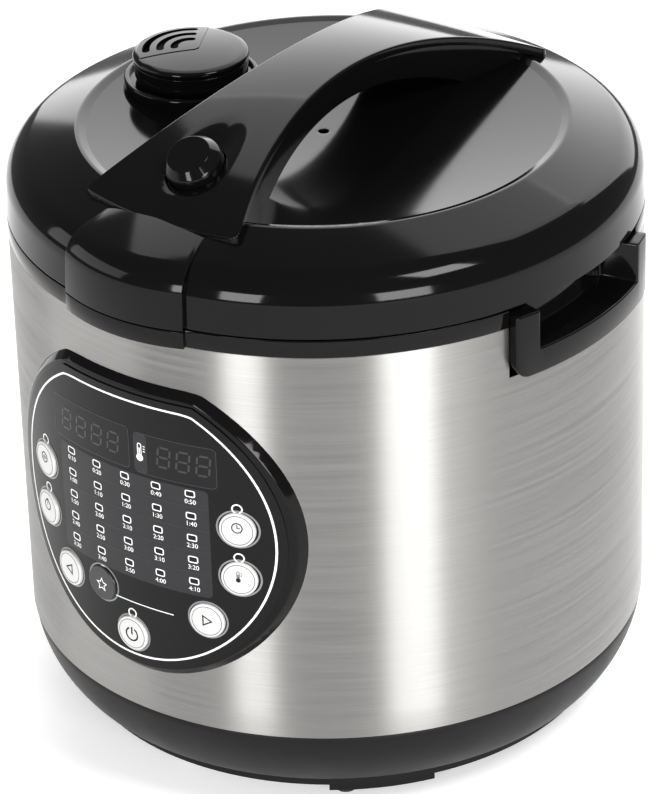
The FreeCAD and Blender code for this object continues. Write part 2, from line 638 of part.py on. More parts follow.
def make_grips():
    for label, yaw in (("carry_handle_right", 0), ("carry_handle_left", 180)):
        body = new_body(label + "_turned")
        turned(body, label + "_frame", [
            ("grip_inner", "grip_sill - grip_floor"),
            ("grip_reach - grip_bar_depth", "grip_sill - grip_floor"),
            ("grip_reach - grip_bar_depth", "grip_bottom"), ("grip_reach", "grip_bottom"),
            ("grip_reach", "grip_top"), ("grip_inner", "grip_top")], turn="2 * grip_half_turn")
        turned(body, label + "_pocket", [
            ("grip_inner + grip_wall", "grip_sill"), ("grip_reach * 2", "grip_sill"),
            ("grip_reach * 2", "lid_bottom"), ("grip_inner + grip_wall", "lid_bottom")],
            turn="2 * (grip_half_turn - grip_post_turn)", kind="Groove")
        low = number("grip_bottom")
        reach = number("grip_reach - grip_bar_depth")

        def lower_corner(edge):
            box = edge.BoundBox
            flat = box.ZLength < NEAR and abs(box.ZMin - low) < NEAR
            ends = [math.hypot(v.X, v.Y) for v in edge.Vertexes]
            return flat and len(ends) == 2 and abs(ends[0] - ends[1]) > NEAR and min(ends) > reach - NEAR
        rounded(body, label + "_corners", "grip_corner", lower_corner)
        name_node(place(body, yaw=yaw), label)


# Pot, liner, heater and the sprung sensor in the heater's middle.

def make_kettle():
    pot = new_body("inner_pot_turned")
    turned(pot, "inner_pot_wall", [
        ("0", "pot_bottom"), ("pot_outer - pot_corner", "pot_bottom", "pot_corner", 1),
        ("pot_outer", "pot_bottom + pot_corner"), ("pot_outer", "ledge_z"), ("pot_flange_radius", "ledge_z"),
        ("pot_flange_radius", "pot_flange_z"), ("pot_radius", "pot_flange_z"),
        ("pot_radius", "pot_bottom + pot_corner", "pot_corner - pot_wall", -1),
        ("pot_outer - pot_corner", "pot_bottom + pot_wall"), ("0", "pot_bottom + pot_wall")])
    name_node(pot, "inner_pot")

    liner = new_body("inner_liner_turned")
    outer = "(liner_radius + liner_wall)"
    turned(liner, "inner_liner_wall", [
        ("sensor_hole", "liner_bottom"), (outer, "liner_bottom"), (outer, "liner_top - liner_wall"),
        ("liner_flange", "liner_top - liner_wall"), ("liner_flange", "liner_top"),
        ("liner_radius", "liner_top"), ("liner_radius", "liner_floor"), ("sensor_hole", "liner_floor")])
    name_node(liner, "inner_liner")

    heater = new_body("heating_plate_turned")
    turned(heater, "heating_plate_disc", [
        ("heater_hole", "heater_bottom"), ("heater_radius - heater_bevel", "heater_bottom"),
        ("heater_radius", "heater_bottom + heater_bevel"), ("heater_radius", "pot_bottom"),
        ("heater_hole", "pot_bottom")])
    name_node(heater, "heating_plate")

    element = doc.addObject("Part::Torus", "heating_element_ring")
    element.setExpression("Radius1", bound("element_ring"))
    element.setExpression("Radius2", bound("element_radius"))
    element.setExpression("Angle3", bound("element_turn"))
    place(element, z="heater_bottom - element_radius", yaw="%d - element_turn / 2" % QUARTER_TURN)
    name_node(element, "heating_element")

    posts = []
    for third in range(HEATER_POSTS):
        angle = "(%d)" % (QUARTER_TURN + FULL_TURN // HEATER_POSTS * third)
        posts.append(rod("heater_post_%d" % third, "heater_post_radius", "heater_bottom - liner_floor",
                         x="heater_post_ring * cos%s" % angle, y="heater_post_ring * sin%s" % angle,
                         z="liner_floor"))
    name_node(group("heater_post_set", posts), "heater_posts")

    sleeve = new_body("sensor_sleeve_turned")
    turned(sleeve, "sensor_sleeve_wall", [
        ("sensor_stem + slip", "sensor_seat - sensor_sleeve"),
        ("sensor_sleeve_radius", "sensor_seat - sensor_sleeve"), ("sensor_sleeve_radius", "liner_floor"),
        ("sensor_flange", "liner_floor"),
        ("sensor_flange", "sensor_seat"), ("sensor_stem + slip", "sensor_seat")])
    name_node(sleeve, "sensor_sleeve")

    sensor = new_body("sensor_turned")
    turned(sensor, "sensor_cap_and_stem", [
        ("0", "sensor_top"), ("0", "sensor_top - sensor_stem_length"),
        ("sensor_stem", "sensor_top - sensor_stem_length"), ("sensor_stem", "sensor_top - sensor_cap"),
        ("sensor_radius", "sensor_top - sensor_cap"), ("sensor_radius", "sensor_top - sensor_bevel"),
        ("sensor_radius - sensor_bevel", "sensor_top")])
    name_node(sensor, "temperature_sensor")
    coil = spring("sensor_spring_coil", "sensor_coil", "sensor_wire", "sensor_top - sensor_cap - sensor_seat",
                  z="sensor_seat + sensor_wire")
    name_node(coil, "sensor_spring")


def make_power_board():
    board = block("power_board_plate", "board_length", "board_width", "board_thick",
                  x="-board_length / 2", y="-board_width / 2", z="board_z")
    name_node(board, "power_board")
    top = "board_z + board_thick"
    items = [block("transformer", "transformer_length", "transformer_width", "transformer_height",
                   x="-board_length / 2 + board_post_inset", y="-transformer_width / 2", z=top)]
    for step in range(2):
        items.append(block("relay_%d" % step, "relay_length", "relay_width", "relay_height",
                           x="board_length / 2 - relay_length - 2 * board_post_inset",
                           y="(%d - 0.5) * part_spacing - relay_width / 2" % step, z=top))
        items.append(rod("capacitor_%d" % step, "capacitor_radius", "capacitor_height",
                         x="0", y="(%d - 0.5) * part_spacing" % step, z=top))
    name_node(group("board_part_set", items), "board_components")


# Mains inlet: a rounded flange on the drum's back with a recessed socket and three blades.

def make_inlet():
    body = new_body("power_inlet_solid")
    flange = new_sketch(body, "XZ_Plane", "inlet_flange_profile", ("z", "-inlet_reach"))
    draw_box(flange, "-inlet_width / 2", "inlet_width / 2",
             "inlet_z - inlet_tall / 2", "inlet_z + inlet_tall / 2")
    padded(body, "inlet_flange_plate", flange, "inlet_flange")
    core = new_sketch(body, "XZ_Plane", "inlet_core_profile", ("z", "-inlet_reach"))
    half = "(inlet_width / 2 - inlet_rim)"
    tall = "(inlet_tall / 2 - inlet_rim)"
    draw_box(core, "-" + half, half, "inlet_z - " + tall, "inlet_z + " + tall)
    padded(body, "inlet_core", core, "inlet_depth")
    recess = new_sketch(body, "XZ_Plane", "inlet_recess_profile", ("z", "-inlet_reach"))
    side = "inlet_socket_width / 2"
    low = "inlet_z - inlet_socket_tall / 2"
    high = "inlet_z + inlet_socket_tall / 2"
    draw(recess, [
        ("-" + side, low), (side, low), (side, high + " - inlet_corner"), (side + " - inlet_corner", high),
        ("-" + side + " + inlet_corner", high), ("-" + side, high + " - inlet_corner")])
    pocket_to(body, "inlet_recess", recess, "inlet_socket_depth", flip=True)
    blades = []
    spots = (("-pin_spread", "-pin_drop"), ("0", "pin_drop"), ("pin_spread", "-pin_drop"))
    for index, (x, z) in enumerate(spots):
        blades.append(block("inlet_blade_%d" % index, "pin_width", "pin_length + pin_tail", "pin_tall",
                            x=x + " - pin_width / 2", y="inlet_reach - inlet_socket_depth - pin_tail",
                            z="inlet_z - pin_tall / 2 + (%s)" % z))
    name_node(cut("power_inlet_slotted", body, joined("inlet_blades_tool", *blades)), "power_inlet")
    name_node(group("inlet_blade_set", blades), "inlet_pins")


# Control panel: a bezel that follows the drum, a gloss overlay, boards behind and push buttons.

def panel_prism(label, radius, chord, corner):
    """The panel's outline, a circle with a flat top, run out to the front."""
    body = new_body(label)
    sketch = new_sketch(body, "XZ_Plane", label + "_outline")
    half = "sqrt((%s) ^ 2 - (%s) ^ 2)" % (radius, chord)
    level = "panel_z + " + chord
    draw(sketch, [("-" + half, level, radius, 1, "large"), (half, level)])
    padded(body, label + "_pad", sketch, REACH)
    top = number(level)

    def top_corner(edge):
        box = edge.BoundBox
        return box.YLength > NEAR and box.ZLength < NEAR and abs(box.ZMin - top) < NEAR
    rounded(body, label + "_corners", corner, top_corner)
    return body


def tube(label, inner, outer):
    return cut(label, rod(label + "_outside", outer, "steel_top"), rod(label + "_inside", inner, "steel_top"))


def radial(turn):
    """Placement that aims an item's own Z outwards at an angle from the front."""
    return {"yaw": turn, "roll": QUARTER_TURN}


def make_panel():
    outline = panel_prism("panel_bezel_prism", "panel_radius", "panel_chord", "panel_corner")
    plate = shared("panel_bezel_plate", outline, tube("panel_bezel_tube", "panel_inner", "panel_face"))
    softened = doc.addObject("Part::Fillet", "panel_bezel_softened")
    softened.Base = plate
    doc.recompute()
    face = number("panel_face")
    soft = number("panel_soft")
    picked = []
    for index, edge in enumerate(plate.Shape.Edges):
        middle = edge.valueAt((edge.FirstParameter + edge.LastParameter) / 2)
        if abs(math.hypot(middle.x, middle.y) - face) < TOUCH:
            picked.append((index + 1, soft, soft))
    softened.Edges = picked
    frame = new_body("panel_frame")
    ring = new_sketch(frame, "XZ_Plane", "panel_frame_ring", ("z", "control_y"))
    draw_circle(ring, "0", "panel_z", "window_radius - fit")
    draw_circle(ring, "0", "panel_z", "window_radius - fit - frame_wall")
    padded(frame, "panel_frame_pad", ring, "panel_face - control_y")
    backed = shared("panel_frame_trim", frame, rod("panel_frame_limit", "panel_face - slip", "steel_top"))
    bezel = joined("panel_bezel_blank", softened, backed)
    inset = panel_prism("panel_overlay_prism", "panel_radius - overlay_inset", "panel_chord - overlay_inset",
                        "panel_corner - overlay_inset")
    sheet_blank = shared("panel_overlay_blank", inset, tube("panel_overlay_tube", "panel_face", "panel_out"))

    holes = []
    for label, (turn, height, side) in PANEL_BUTTONS.items():
        holes.append(rod(label + "_hole", "button_radius + fit", REACH, z=height,
                         **radial("%d * %s" % (side, turn))))
    windows = []
    for label in ("display_left", "display_right"):
        windows.append(block(label + "_window", "display_width + 2 * fit", "panel_face",
                             "display_tall + 2 * fit", x=label + "_x - display_width / 2 - fit",
                             y="-control_y - panel_face", z="display_z - display_tall / 2 - fit"))
    button_holes = joined("button_holes", *holes)
    opened = cut("panel_bezel_open", bezel, joined("panel_openings", button_holes, *windows))
    name_node(opened, "panel_bezel")
    name_node(cut("panel_overlay_open", sheet_blank, button_holes), "panel_overlay")

    board = rod("control_board_disc", "window_radius - frame_wall - 2 * fit", "board_thick", y="-control_y",
                z="panel_z", roll=QUARTER_TURN)
    name_node(board, "control_board")
    for label in ("display_left", "display_right"):
        depth = "sqrt(panel_face ^ 2 - (abs(%s_x) + display_width / 2) ^ 2)" % label
        module = block(label + "_module", "display_width", "(%s - fit) - control_face" % depth,
                       "display_tall", x=label + "_x - display_width / 2", y="-(%s - fit)" % depth,
                       z="display_z - display_tall / 2")
        name_node(module, label)
    lights = []
    for row in range(LED_ROWS):
        for column in range(LED_COLUMNS):
            across = column - LED_COLUMNS // 2
            lights.append(block("led_%d_%d" % (row, column), "led_width", "led_height", "led_tall",
                                x="%d * led_column * panel_unit - led_width / 2" % across,
                                y="-control_face - led_height",
                                z="led_top - %d * led_row * panel_unit - led_tall / 2" % row))
    name_node(group("program_light_set", lights), "program_lights")

    switches = []
    for label, (turn, height, side) in PANEL_BUTTONS.items():
        angle = "(%d * %s)" % (side, turn)
        tip = "((switch_top + button_travel + fit + button_stem) / cos%s)" % angle
        switches.append(block(label + "_switch", "switch_size", "switch_height", "switch_size",
                              x="switch_top * tan%s - switch_size / 2" % angle, y="-switch_top",
                              z=height + " - switch_size / 2"))
        body = new_body(label + "_turned")
        turned(body, label + "_profile", [
            ("0", tip + " - button_stem"), ("button_stem", tip),
            ("button_stem", "panel_out - button_head"), ("button_radius", "panel_out - button_head"),
            ("button_radius", "panel_out + button_proud - button_bevel"),
            ("button_radius - button_bevel", "panel_out + button_proud"), ("0", "panel_out + button_proud")])
        name_node(place(body, z=height, **radial("%d * %s" % (side, turn))), label)
    name_node(group("switch_set", switches), "panel_switches")


# Lid: outer shell with its dish and noses, the plate under it, and the removable inner lid.

def lid_outline(margin):
    """The lid's outer surface from its lower edge to the dish's middle, moved in by a margin."""
    return [
        ("lid_radius - %s" % margin, "lid_bottom"), ("wall_top_r - %s" % margin, "wall_top_z",
                                                     "shoulder_radius - %s" % margin, 1),
        ("shoulder_r - %s * sin(lid_slope)" % margin, "shoulder_z - %s * cos(lid_slope)" % margin)]


def make_nose(label, rear):
    """The proud sector of the lid over the latch or the hinge, flatter in plan than the drum."""
    body = new_body(label + "_turned")
    wall = "(nose_radius - lid_draft)"
    end_r = "(%s - shoulder_radius * (1 - sin(nose_slope)))" % wall
    end_z = "(wall_top_z + shoulder_radius * cos(nose_slope))"
    inner = "(nose_radius / 2)"
    turned(body, label + "_surface", [
        (inner, "lid_bottom"), ("nose_radius", "lid_bottom"), (wall, "wall_top_z", "shoulder_radius", 1),
        (end_r, end_z), (inner, "%s + (%s - %s) * tan(nose_slope)" % (end_z, end_r, inner))])
    place(body, y="nose_axis" if rear else "-nose_axis")
    wedge = nose_wedge(label + "_wedge", lid_outline("lid_wall / 2") + [
        ("dish_radius + lid_wall", "under_rim_z + lid_wall / 2 / cos(lid_slope)"),
        ("dish_radius + lid_wall", "bridge_top_z"), ("nose_reach * 2", "bridge_top_z"),
        ("nose_reach * 2", "lid_bottom")], rear)
    return shared(label, body, wedge)


def lid_screw_spot(quarter):
    """Where one of the four lid screws stands, as two sums."""
    angle = "(lid_screw_turn + %d)" % (QUARTER_TURN * quarter)
    return "lid_screw_ring * cos%s" % angle, "lid_screw_ring * sin%s" % angle


def make_lid():
    shell = new_body("lid_shell_turned")
    outside = lid_outline("0") + [
        ("dish_radius", "rim_z"), ("dish_radius - dish_draft", "dish_z"), ("0", "dish_z")]
    inside = [
        ("0", "dish_z - lid_wall"), ("dish_radius - dish_draft + lid_wall / 2", "dish_z - lid_wall"),
        ("under_rim_r", "under_rim_z"),
        ("inner_shoulder_r", "inner_shoulder_z", "shoulder_radius - lid_wall", -1),
        ("wall_top_r - lid_wall", "wall_top_z"), ("lid_radius - lid_wall", "lid_bottom")]
    turned(shell, "lid_shell", outside + inside)
    boss = new_sketch(shell, "XY_Plane", "lid_boss_profile", ("z", "liner_plate_top"))
    draw_circle(boss, *lid_screw_spot(0), "screw_boss_radius")
    bosses = padded(shell, "lid_boss", boss, "inner_shoulder_z - liner_plate_top + boss_sink")
    repeated(shell, "lid_bosses", [bosses], QUARTERS)
    noses = [make_nose("lid_nose_front", False), make_nose("lid_nose_rear", True)]

    knuckles = []
    for side in (-1, 1):
        middle = "%d * hinge_knuckle_x" % side
        name = "lid_knuckle_%d" % (side + 1)
        knuckles.append(along_hinge(name, "hinge_barrel", "hinge_knuckle / 2", middle))
        knuckles.append(block(name + "_arm", "hinge_knuckle", "2 * hinge_barrel",
                              "lid_bottom - hinge_z + lid_wall", x=middle + " - hinge_knuckle / 2",
                              y="hinge_y - hinge_barrel", z="hinge_z"))
    solid = joined("lid_cover_solid", shell, *noses, *knuckles)

    cutters = [
        along_hinge("lid_pin_hole", "hinge_pin + slip", "hinge_half"),
        rod("lid_centre_hole", "centre_hole", REACH),
        rod("lid_vent_hole", "vent_tube + slip", REACH, x="vent_x"),
        rod("lid_stem_hole", "release_stem + 2 * fit", "release_end * 2", y="release_y", z="release_z",
            roll="180 + release_tilt")]
    for quarter in range(QUARTERS):
        x, y = lid_screw_spot(quarter)
        cutters.append(rod("lid_boss_hole_%d" % quarter, "screw_radius + slip", "lid_wall_height",
                           x=x, y=y, z="lid_bottom"))
    for x in (-1, 1):
        for y in (-1, 1):
            cutters.append(rod("lid_bridge_hole_%d_%d" % (x + 1, y + 1), "screw_radius + slip", REACH,
                               x="%d * bridge_screw_x" % x, y="%d * bridge_screw_y" % y))
    name_node(cut("lid_cover_cut", solid, joined("lid_cutters", *cutters)), "lid_cover")

    plate = new_body("lid_liner_turned")
    turned(plate, "lid_liner_plate", [
        ("0", "lid_bottom"), ("skirt_radius - skirt_wall", "lid_bottom"),
        ("skirt_radius - skirt_wall", "lid_bottom - skirt_depth"),
        ("skirt_radius", "lid_bottom - skirt_depth"), ("skirt_radius", "lid_bottom"),
        ("liner_rim", "lid_bottom"), ("liner_rim", "liner_plate_top"), ("0", "liner_plate_top")])
    drill = new_sketch(plate, "XY_Plane", "lid_liner_holes")
    draw_circle(drill, "vent_x", "0", "vent_tube + slip")
    draw_circle(drill, "0", "0", "grommet_radius + slip")
    for quarter in range(QUARTERS):
        draw_circle(drill, *lid_screw_spot(quarter), "screw_radius + fit")
    draw_box(drill, "-latch_half - fit", "latch_half + fit", "-latch_front - fit",
             "-latch_front + latch_tooth + latch_travel + fit")
    pocketed(plate, "lid_liner_drilled", drill)
    name_node(plate, "lid_liner")
    screws = []
    for quarter in range(QUARTERS):
        x, y = lid_screw_spot(quarter)
        screws.append(screw("lid_screw_%d" % quarter, "lid_screw", x=x, y=y, z="lid_bottom - screw_head"))
    name_node(group("lid_screw_set", screws), "lid_screws")

    inner = new_body("inner_lid_turned")
    turned(inner, "inner_lid_disc", [
        ("0", "inner_lid_z - inner_lid_step"), ("inner_lid_land", "inner_lid_z - inner_lid_step"),
        ("inner_lid_land + inner_lid_step", "inner_lid_z"), ("inner_lid_radius", "inner_lid_z"),
        ("inner_lid_radius", "inner_lid_top"),
        ("inner_lid_land + inner_lid_step - inner_lid_wall / 2", "inner_lid_top"),
        ("inner_lid_land - inner_lid_wall / 2", "inner_lid_top - inner_lid_step"),
        ("0", "inner_lid_top - inner_lid_step")])
    drill = new_sketch(inner, "XY_Plane", "inner_lid_holes")
    draw_circle(drill, "vent_x", "0", "vent_tube - vent_tube_wall")
    draw_circle(drill, "0", "0", "grommet_radius + slip")
    pocketed(inner, "inner_lid_drilled", drill)
    name_node(inner, "inner_lid")

    gasket = new_body("gasket_turned")
    lip = "(pot_flange_z + fit)"
    turned(gasket, "gasket_ring", [
        ("inner_lid_radius - gasket_wall / 2", "inner_lid_z"), ("inner_lid_radius - gasket_wall / 2", lip),
        ("inner_lid_radius", lip), ("inner_lid_radius + gasket_lip", lip + " + gasket_lip"),
        ("inner_lid_radius + gasket_lip", "inner_lid_top"), ("inner_lid_radius + slip", "inner_lid_top"),
        ("inner_lid_radius + slip", "inner_lid_z")])
    name_node(gasket, "lid_gasket")

    grommet = new_body("grommet_turned")
    seat = "(inner_lid_z - inner_lid_step)"
    turned(grommet, "grommet_shape", [
        ("0", seat + " - grommet_head_height"), ("grommet_radius", seat + " - grommet_head_height"),
        ("grommet_head", seat), ("grommet_radius", seat), ("grommet_radius", "liner_plate_top"),
        ("0", "liner_plate_top")])
    name_node(grommet, "lid_grommet")


def make_vent():
    tube_body = new_body("vent_tube_turned")
    bore = "(vent_tube - vent_tube_wall)"
    turned(tube_body, "vent_tube_wall_ring", [
        (bore, "inner_lid_top - inner_lid_step"), ("vent_tube", "inner_lid_top - inner_lid_step"),
        ("vent_tube", "vent_seat"), (bore, "vent_seat")])
    name_node(place(tube_body, x="vent_x"), "vent_tube")

    collar = new_body("vent_collar_turned")
    turned(collar, "vent_collar_ring", [
        ("vent_tube + slip", "dish_z"), ("vent_collar_radius", "dish_z"),
        ("vent_collar_radius", "vent_collar_top - cap_edge"),
        ("vent_collar_radius - cap_edge", "vent_collar_top"), ("vent_bore", "vent_collar_top"),
        ("vent_bore", "vent_seat"), ("vent_tube + slip", "vent_seat")])
    name_node(place(collar, x="vent_x"), "vent_collar")

    cap = new_body("vent_cap_turned")
    skirt = "(vent_bore - fit)"
    turned(cap, "vent_cap_shell", [
        ("0", "cap_top"), ("0", "cap_top - cap_wall"), (skirt + " - cap_wall", "cap_top - cap_wall"),
        (skirt + " - cap_wall", "cap_bottom - cap_skirt"), (skirt, "cap_bottom - cap_skirt"),
        (skirt, "cap_bottom"), ("cap_radius", "cap_bottom"),
        ("cap_radius", "cap_top - cap_edge", "cap_edge", 1), ("cap_radius - cap_edge", "cap_top")])
    for ring in range(CAP_SLOTS):
        inner = "(cap_slot_inner + %d * cap_slot_pitch)" % ring
        turned(cap, "vent_cap_slot_%d" % ring, [
            (inner, "cap_top - 2 * cap_wall"), (inner + " + cap_slot_width", "cap_top - 2 * cap_wall"),
            (inner + " + cap_slot_width", "cap_top + cap_wall"), (inner, "cap_top + cap_wall")],
            turn="cap_slot_turn", kind="Groove")
    name_node(place(cap, x="vent_x", yaw="180 - cap_slot_aim"), "vent_cap")


# Bridge handle: an arched top skin over a body with two legs, seated on the lid.

def bridge_blank(label, drop, floor, inset):
    """An arch seen from the side, trimmed to the waisted plan of the bridge."""
    body = new_body(label)
    side = new_sketch(body, "YZ_Plane", label + "_side")
    arch = "(bridge_arch - %s)" % drop
    reach = "(bridge_nose + bridge_margin)"
    level = "bridge_top_z - bridge_arch + sqrt(%s ^ 2 - %s ^ 2)" % (arch, reach)
    draw(side, [(reach, floor), (reach, level, arch, 1), ("-" + reach, level), ("-" + reach, floor)])
    padded(body, label + "_span", side, "4 * bridge_end", both=True)
    plan = new_sketch(body, "XY_Plane", label + "_plan")
    waist = "(bridge_half_width - %s)" % inset
    end_y = "(bridge_end - %s)" % inset
    nose_y = "(bridge_nose - %s)" % inset
    scallop = "(bridge_scallop + %s)" % inset
    corner = "(%s + %s - sqrt(%s ^ 2 - %s ^ 2))" % (waist, scallop, scallop, end_y)
    rise = "(%s - %s)" % (nose_y, end_y)
    crown = "((%s ^ 2 + %s ^ 2) / (2 * %s))" % (corner, rise, rise)
    far = "(2 * bridge_end)"
    draw_box(plan, "-" + far, far, "-" + far, far)
    draw(plan, [
        (corner, "-" + end_y, scallop, -1), (corner, end_y, crown, 1),
        ("-" + corner, end_y, scallop, -1), ("-" + corner, "-" + end_y, crown, 1)])
    pocketed(body, label + "_trim", plan)
    return body


def make_bridge():
    envelope = new_body("lid_envelope_turned")
    turned(envelope, "lid_envelope", lid_outline("0") + [
        ("dish_radius", "rim_z"), ("dish_radius - dish_draft", "dish_z"), ("0", "dish_z"),
        ("0", "lid_bottom")])
    noses = [make_nose("bridge_nose_front", False), make_nose("bridge_nose_rear", True)]
    seat = joined("bridge_seat", envelope, *noses)
    bore = rod("release_bore", "release_radius + fit",
               "release_skirt + release_travel + release_proud + release_floor",
               y="release_y - release_proud * sin(release_tilt)",
               z="release_z + release_proud * cos(release_tilt)", roll="180 + release_tilt")
    stem = rod("release_stem_bore", "release_stem + fit", "release_end * 2", y="release_y", z="release_z",
               roll="180 + release_tilt")
    mouth = joined("release_openings", bore, stem)

    skin = bridge_blank("bridge_skin", "0", "dish_z", "0")
    core = bridge_blank("bridge_core", "bridge_skin", "lid_bottom", "-bridge_inset")
    top = cut("bridge_top_skin", skin, core)
    top = cut("bridge_top_seated", top, seat)
    name_node(cut("bridge_top_open", top, mouth), "bridge_top")

    under = bridge_blank("bridge_under", "(bridge_skin + bridge_split)", "dish_z", "bridge_inset")
    arch = new_body("bridge_hand_gap")
    side = new_sketch(arch, "YZ_Plane", "bridge_hand_gap_side")
    peak = "(bridge_top_z - bridge_skin - bridge_depth)"
    climb = "(%s - dish_z)" % peak
    radius = "((leg_inner ^ 2 + %s ^ 2) / (2 * %s))" % (climb, climb)
    draw(side, [("leg_inner", "dish_z", radius, 1), ("-leg_inner", "dish_z")])
    padded(arch, "bridge_hand_gap_span", side, "4 * bridge_end", both=True)
    body = cut("bridge_bottom_arch", under, arch)
    body = cut("bridge_bottom_seated", body, seat)
    drills = []
    screws = []
    for x in (-1, 1):
        for y in (-1, 1):
            spot = {"x": "%d * bridge_screw_x" % x, "y": "%d * bridge_screw_y" % y}
            mark = "%d_%d" % (x + 1, y + 1)
            drills.append(rod("bridge_drill_" + mark, "screw_radius + slip", "bridge_screw + fit", z="dish_z",
                              **spot))
            screws.append(screw("bridge_screw_" + mark, "lid_wall + bridge_screw",
                                z="dish_z - lid_wall - screw_head", **spot))
    name_node(cut("bridge_bottom_open", body, joined("bridge_drills", mouth, *drills)), "bridge_bottom")
    name_node(group("bridge_screw_set", screws), "bridge_screws")


def make_latch():
    button = new_body("release_button_turned")
    under = "release_wall - release_skirt"
    hollow = "release_radius - release_wall"
    turned(button, "release_button_shape", [
        ("0", "release_proud"), ("0", "-release_end"), ("release_stem", "-release_end"),
        ("release_stem", under), (hollow, under), (hollow, "-release_skirt"),
        ("release_radius", "-release_skirt"), ("release_radius", "0"),
        ("release_top_radius + release_bevel", "release_proud - release_bevel"),
        ("release_top_radius", "release_proud")])
    name_node(place(button, y="release_y", z="release_z", roll="release_tilt"), "release_button")
    depth = "(release_skirt + release_travel + release_floor)"
    coil = spring("release_spring_coil", "release_coil", "release_wire",
                  "release_travel + release_floor + release_wall",
                  y="release_y + (%s - release_wire) * sin(release_tilt)" % depth,
                  z="release_z - (%s - release_wire) * cos(release_tilt)" % depth, roll="release_tilt")
    name_node(coil, "release_spring")

    slider = new_body("latch_slider_solid")
    side = new_sketch(slider, "YZ_Plane", "latch_slider_side")
    foot = "(lid_bottom - latch_tooth_drop)"
    back = "(-latch_front + latch_hook)"
    heel = "(-latch_front + latch_tooth)"
    draw(side, [
        ("-latch_front", foot), (heel, foot), (heel, "latch_z"), ("-latch_tail", "latch_z"),
        ("-latch_tail", "latch_z + latch_thick + latch_post"),
        ("-latch_tail - latch_thick", "latch_z + latch_thick + latch_post"),
        ("-latch_tail - latch_thick", "latch_z + latch_thick"), (back, "latch_z + latch_thick"),
        (back, foot + " + latch_hook_height + latch_hook"), ("-latch_front", foot + " + latch_hook_height")])
    padded(slider, "latch_slider_span", side, "2 * latch_half", both=True)
    name_node(slider, "latch_slider")


make_base()
make_drum()
make_collar()
make_grips()
make_kettle()
make_power_board()
make_inlet()
make_panel()
make_lid()
make_vent()
make_bridge()
make_latch()
doc.recompute()

failed = [item.Label for item in doc.Objects if "Invalid" in item.State or "Error" in item.State]
for item in nodes:
    if item.Shape.isNull() or not item.Shape.isValid():
        failed.append(item.Label)
if failed:
    raise RuntimeError("these did not build: " + ", ".join(failed))

os.makedirs("parts", exist_ok=True)
for item in nodes:
    item.Shape.exportStep("parts/%s.step" % item.Label)
print("%d nodes written" % len(nodes))
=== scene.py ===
# %% [markdown]
# # A hinged-lid multicooker
# The real object is a steel drum on a black bowl-shaped base, under a glossy black lid with a bridge
# handle, a steam vent and a round release button. A curved control panel sits on its front. The packed
# solids are loaded first as a fixed frame. Every piece below is drawn at the place and size of its
# solid, and each one rides on the body that carries it.

# %% Load the frame
import math
import bmesh
import bpy
from mathutils import Matrix, Vector


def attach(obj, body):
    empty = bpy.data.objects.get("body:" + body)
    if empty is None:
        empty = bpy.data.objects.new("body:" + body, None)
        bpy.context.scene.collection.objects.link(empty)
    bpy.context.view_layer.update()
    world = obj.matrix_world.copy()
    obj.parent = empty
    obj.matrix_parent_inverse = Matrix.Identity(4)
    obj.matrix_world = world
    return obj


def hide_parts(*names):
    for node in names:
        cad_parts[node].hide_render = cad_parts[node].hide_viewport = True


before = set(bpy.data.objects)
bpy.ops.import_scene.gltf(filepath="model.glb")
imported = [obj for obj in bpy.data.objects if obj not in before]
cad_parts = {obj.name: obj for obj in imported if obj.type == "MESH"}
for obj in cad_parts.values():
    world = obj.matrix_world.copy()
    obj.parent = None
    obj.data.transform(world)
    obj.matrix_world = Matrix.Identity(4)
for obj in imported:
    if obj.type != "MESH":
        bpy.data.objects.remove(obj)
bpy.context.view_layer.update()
MM = 0.001

# %% [markdown]
# ## Tools for turned pieces
# Most of a cooker is turned: drum, base, lid, vent and keys all have one axis. A learner could model
# them from cylinders and bevel every edge, but one half-outline that is spun round the axis gives the
# true section at once. The outline below is a run of (radius, height) corners in millimetres, and a
# third number rounds that corner, so each edge of the moulding catches a thin light as the real one
# does. Beside a side longer than LONG_SIDE, a rounding gets a guard point, which keeps its shading off
# the flat.

# %% Outline and lathe
LONG_SIDE, GUARD = 4.0, 0.3
WELD = 0.002


def outline(corners, steps=5):
    """A run of (radius, height) points; a third number in a corner rounds it."""
    points = []
    for index, corner in enumerate(corners):
        here = Vector(corner[:2])
        if len(corner) == 2:
            points.append(here)
            continue
        to_last = Vector(corners[index - 1][:2]) - here
        to_next = Vector(corners[(index + 1) % len(corners)][:2]) - here
        before, after = to_last.normalized(), to_next.normalized()
        half = before.angle(after) / 2
        reach = corner[2] / math.tan(half)
        centre = here + (before + after).normalized() * (corner[2] / math.sin(half))
        start = here + before * reach - centre
        finish = here + after * reach - centre
        turn = -start.angle_signed(finish)
        if to_last.length > LONG_SIDE:
            points.append(here + before * (reach + GUARD))
        for step in range(steps + 1):
            points.append(centre + Matrix.Rotation(turn * step / steps, 2) @ start)
        if to_next.length > LONG_SIDE:
            points.append(here + after * (reach + GUARD))
    return points


def cleaned(bm):
    """Weld points that meet and turn every face outwards."""
    bmesh.ops.remove_doubles(bm, verts=bm.verts, dist=WELD * MM)
    bmesh.ops.recalc_face_normals(bm, faces=bm.faces)
    return bm


def spun(points, steps, start=(1, 0), angle=math.tau, closed=False):
    """Spin a run of (radius, height) points round the upright axis, from a start on the unit circle."""
    bm = bmesh.new()
    rim = [bm.verts.new((start[0] * r * MM, start[1] * r * MM, z * MM)) for r, z in points]
    edges = [bm.edges.new(pair) for pair in zip(rim, rim[1:])]
    if closed:
        edges.append(bm.edges.new((rim[-1], rim[0])))
    bmesh.ops.spin(bm, geom=rim + edges, cent=(0, 0, 0), axis=(0, 0, 1), steps=steps, angle=angle,
                   use_merge=angle == math.tau)
    return bm


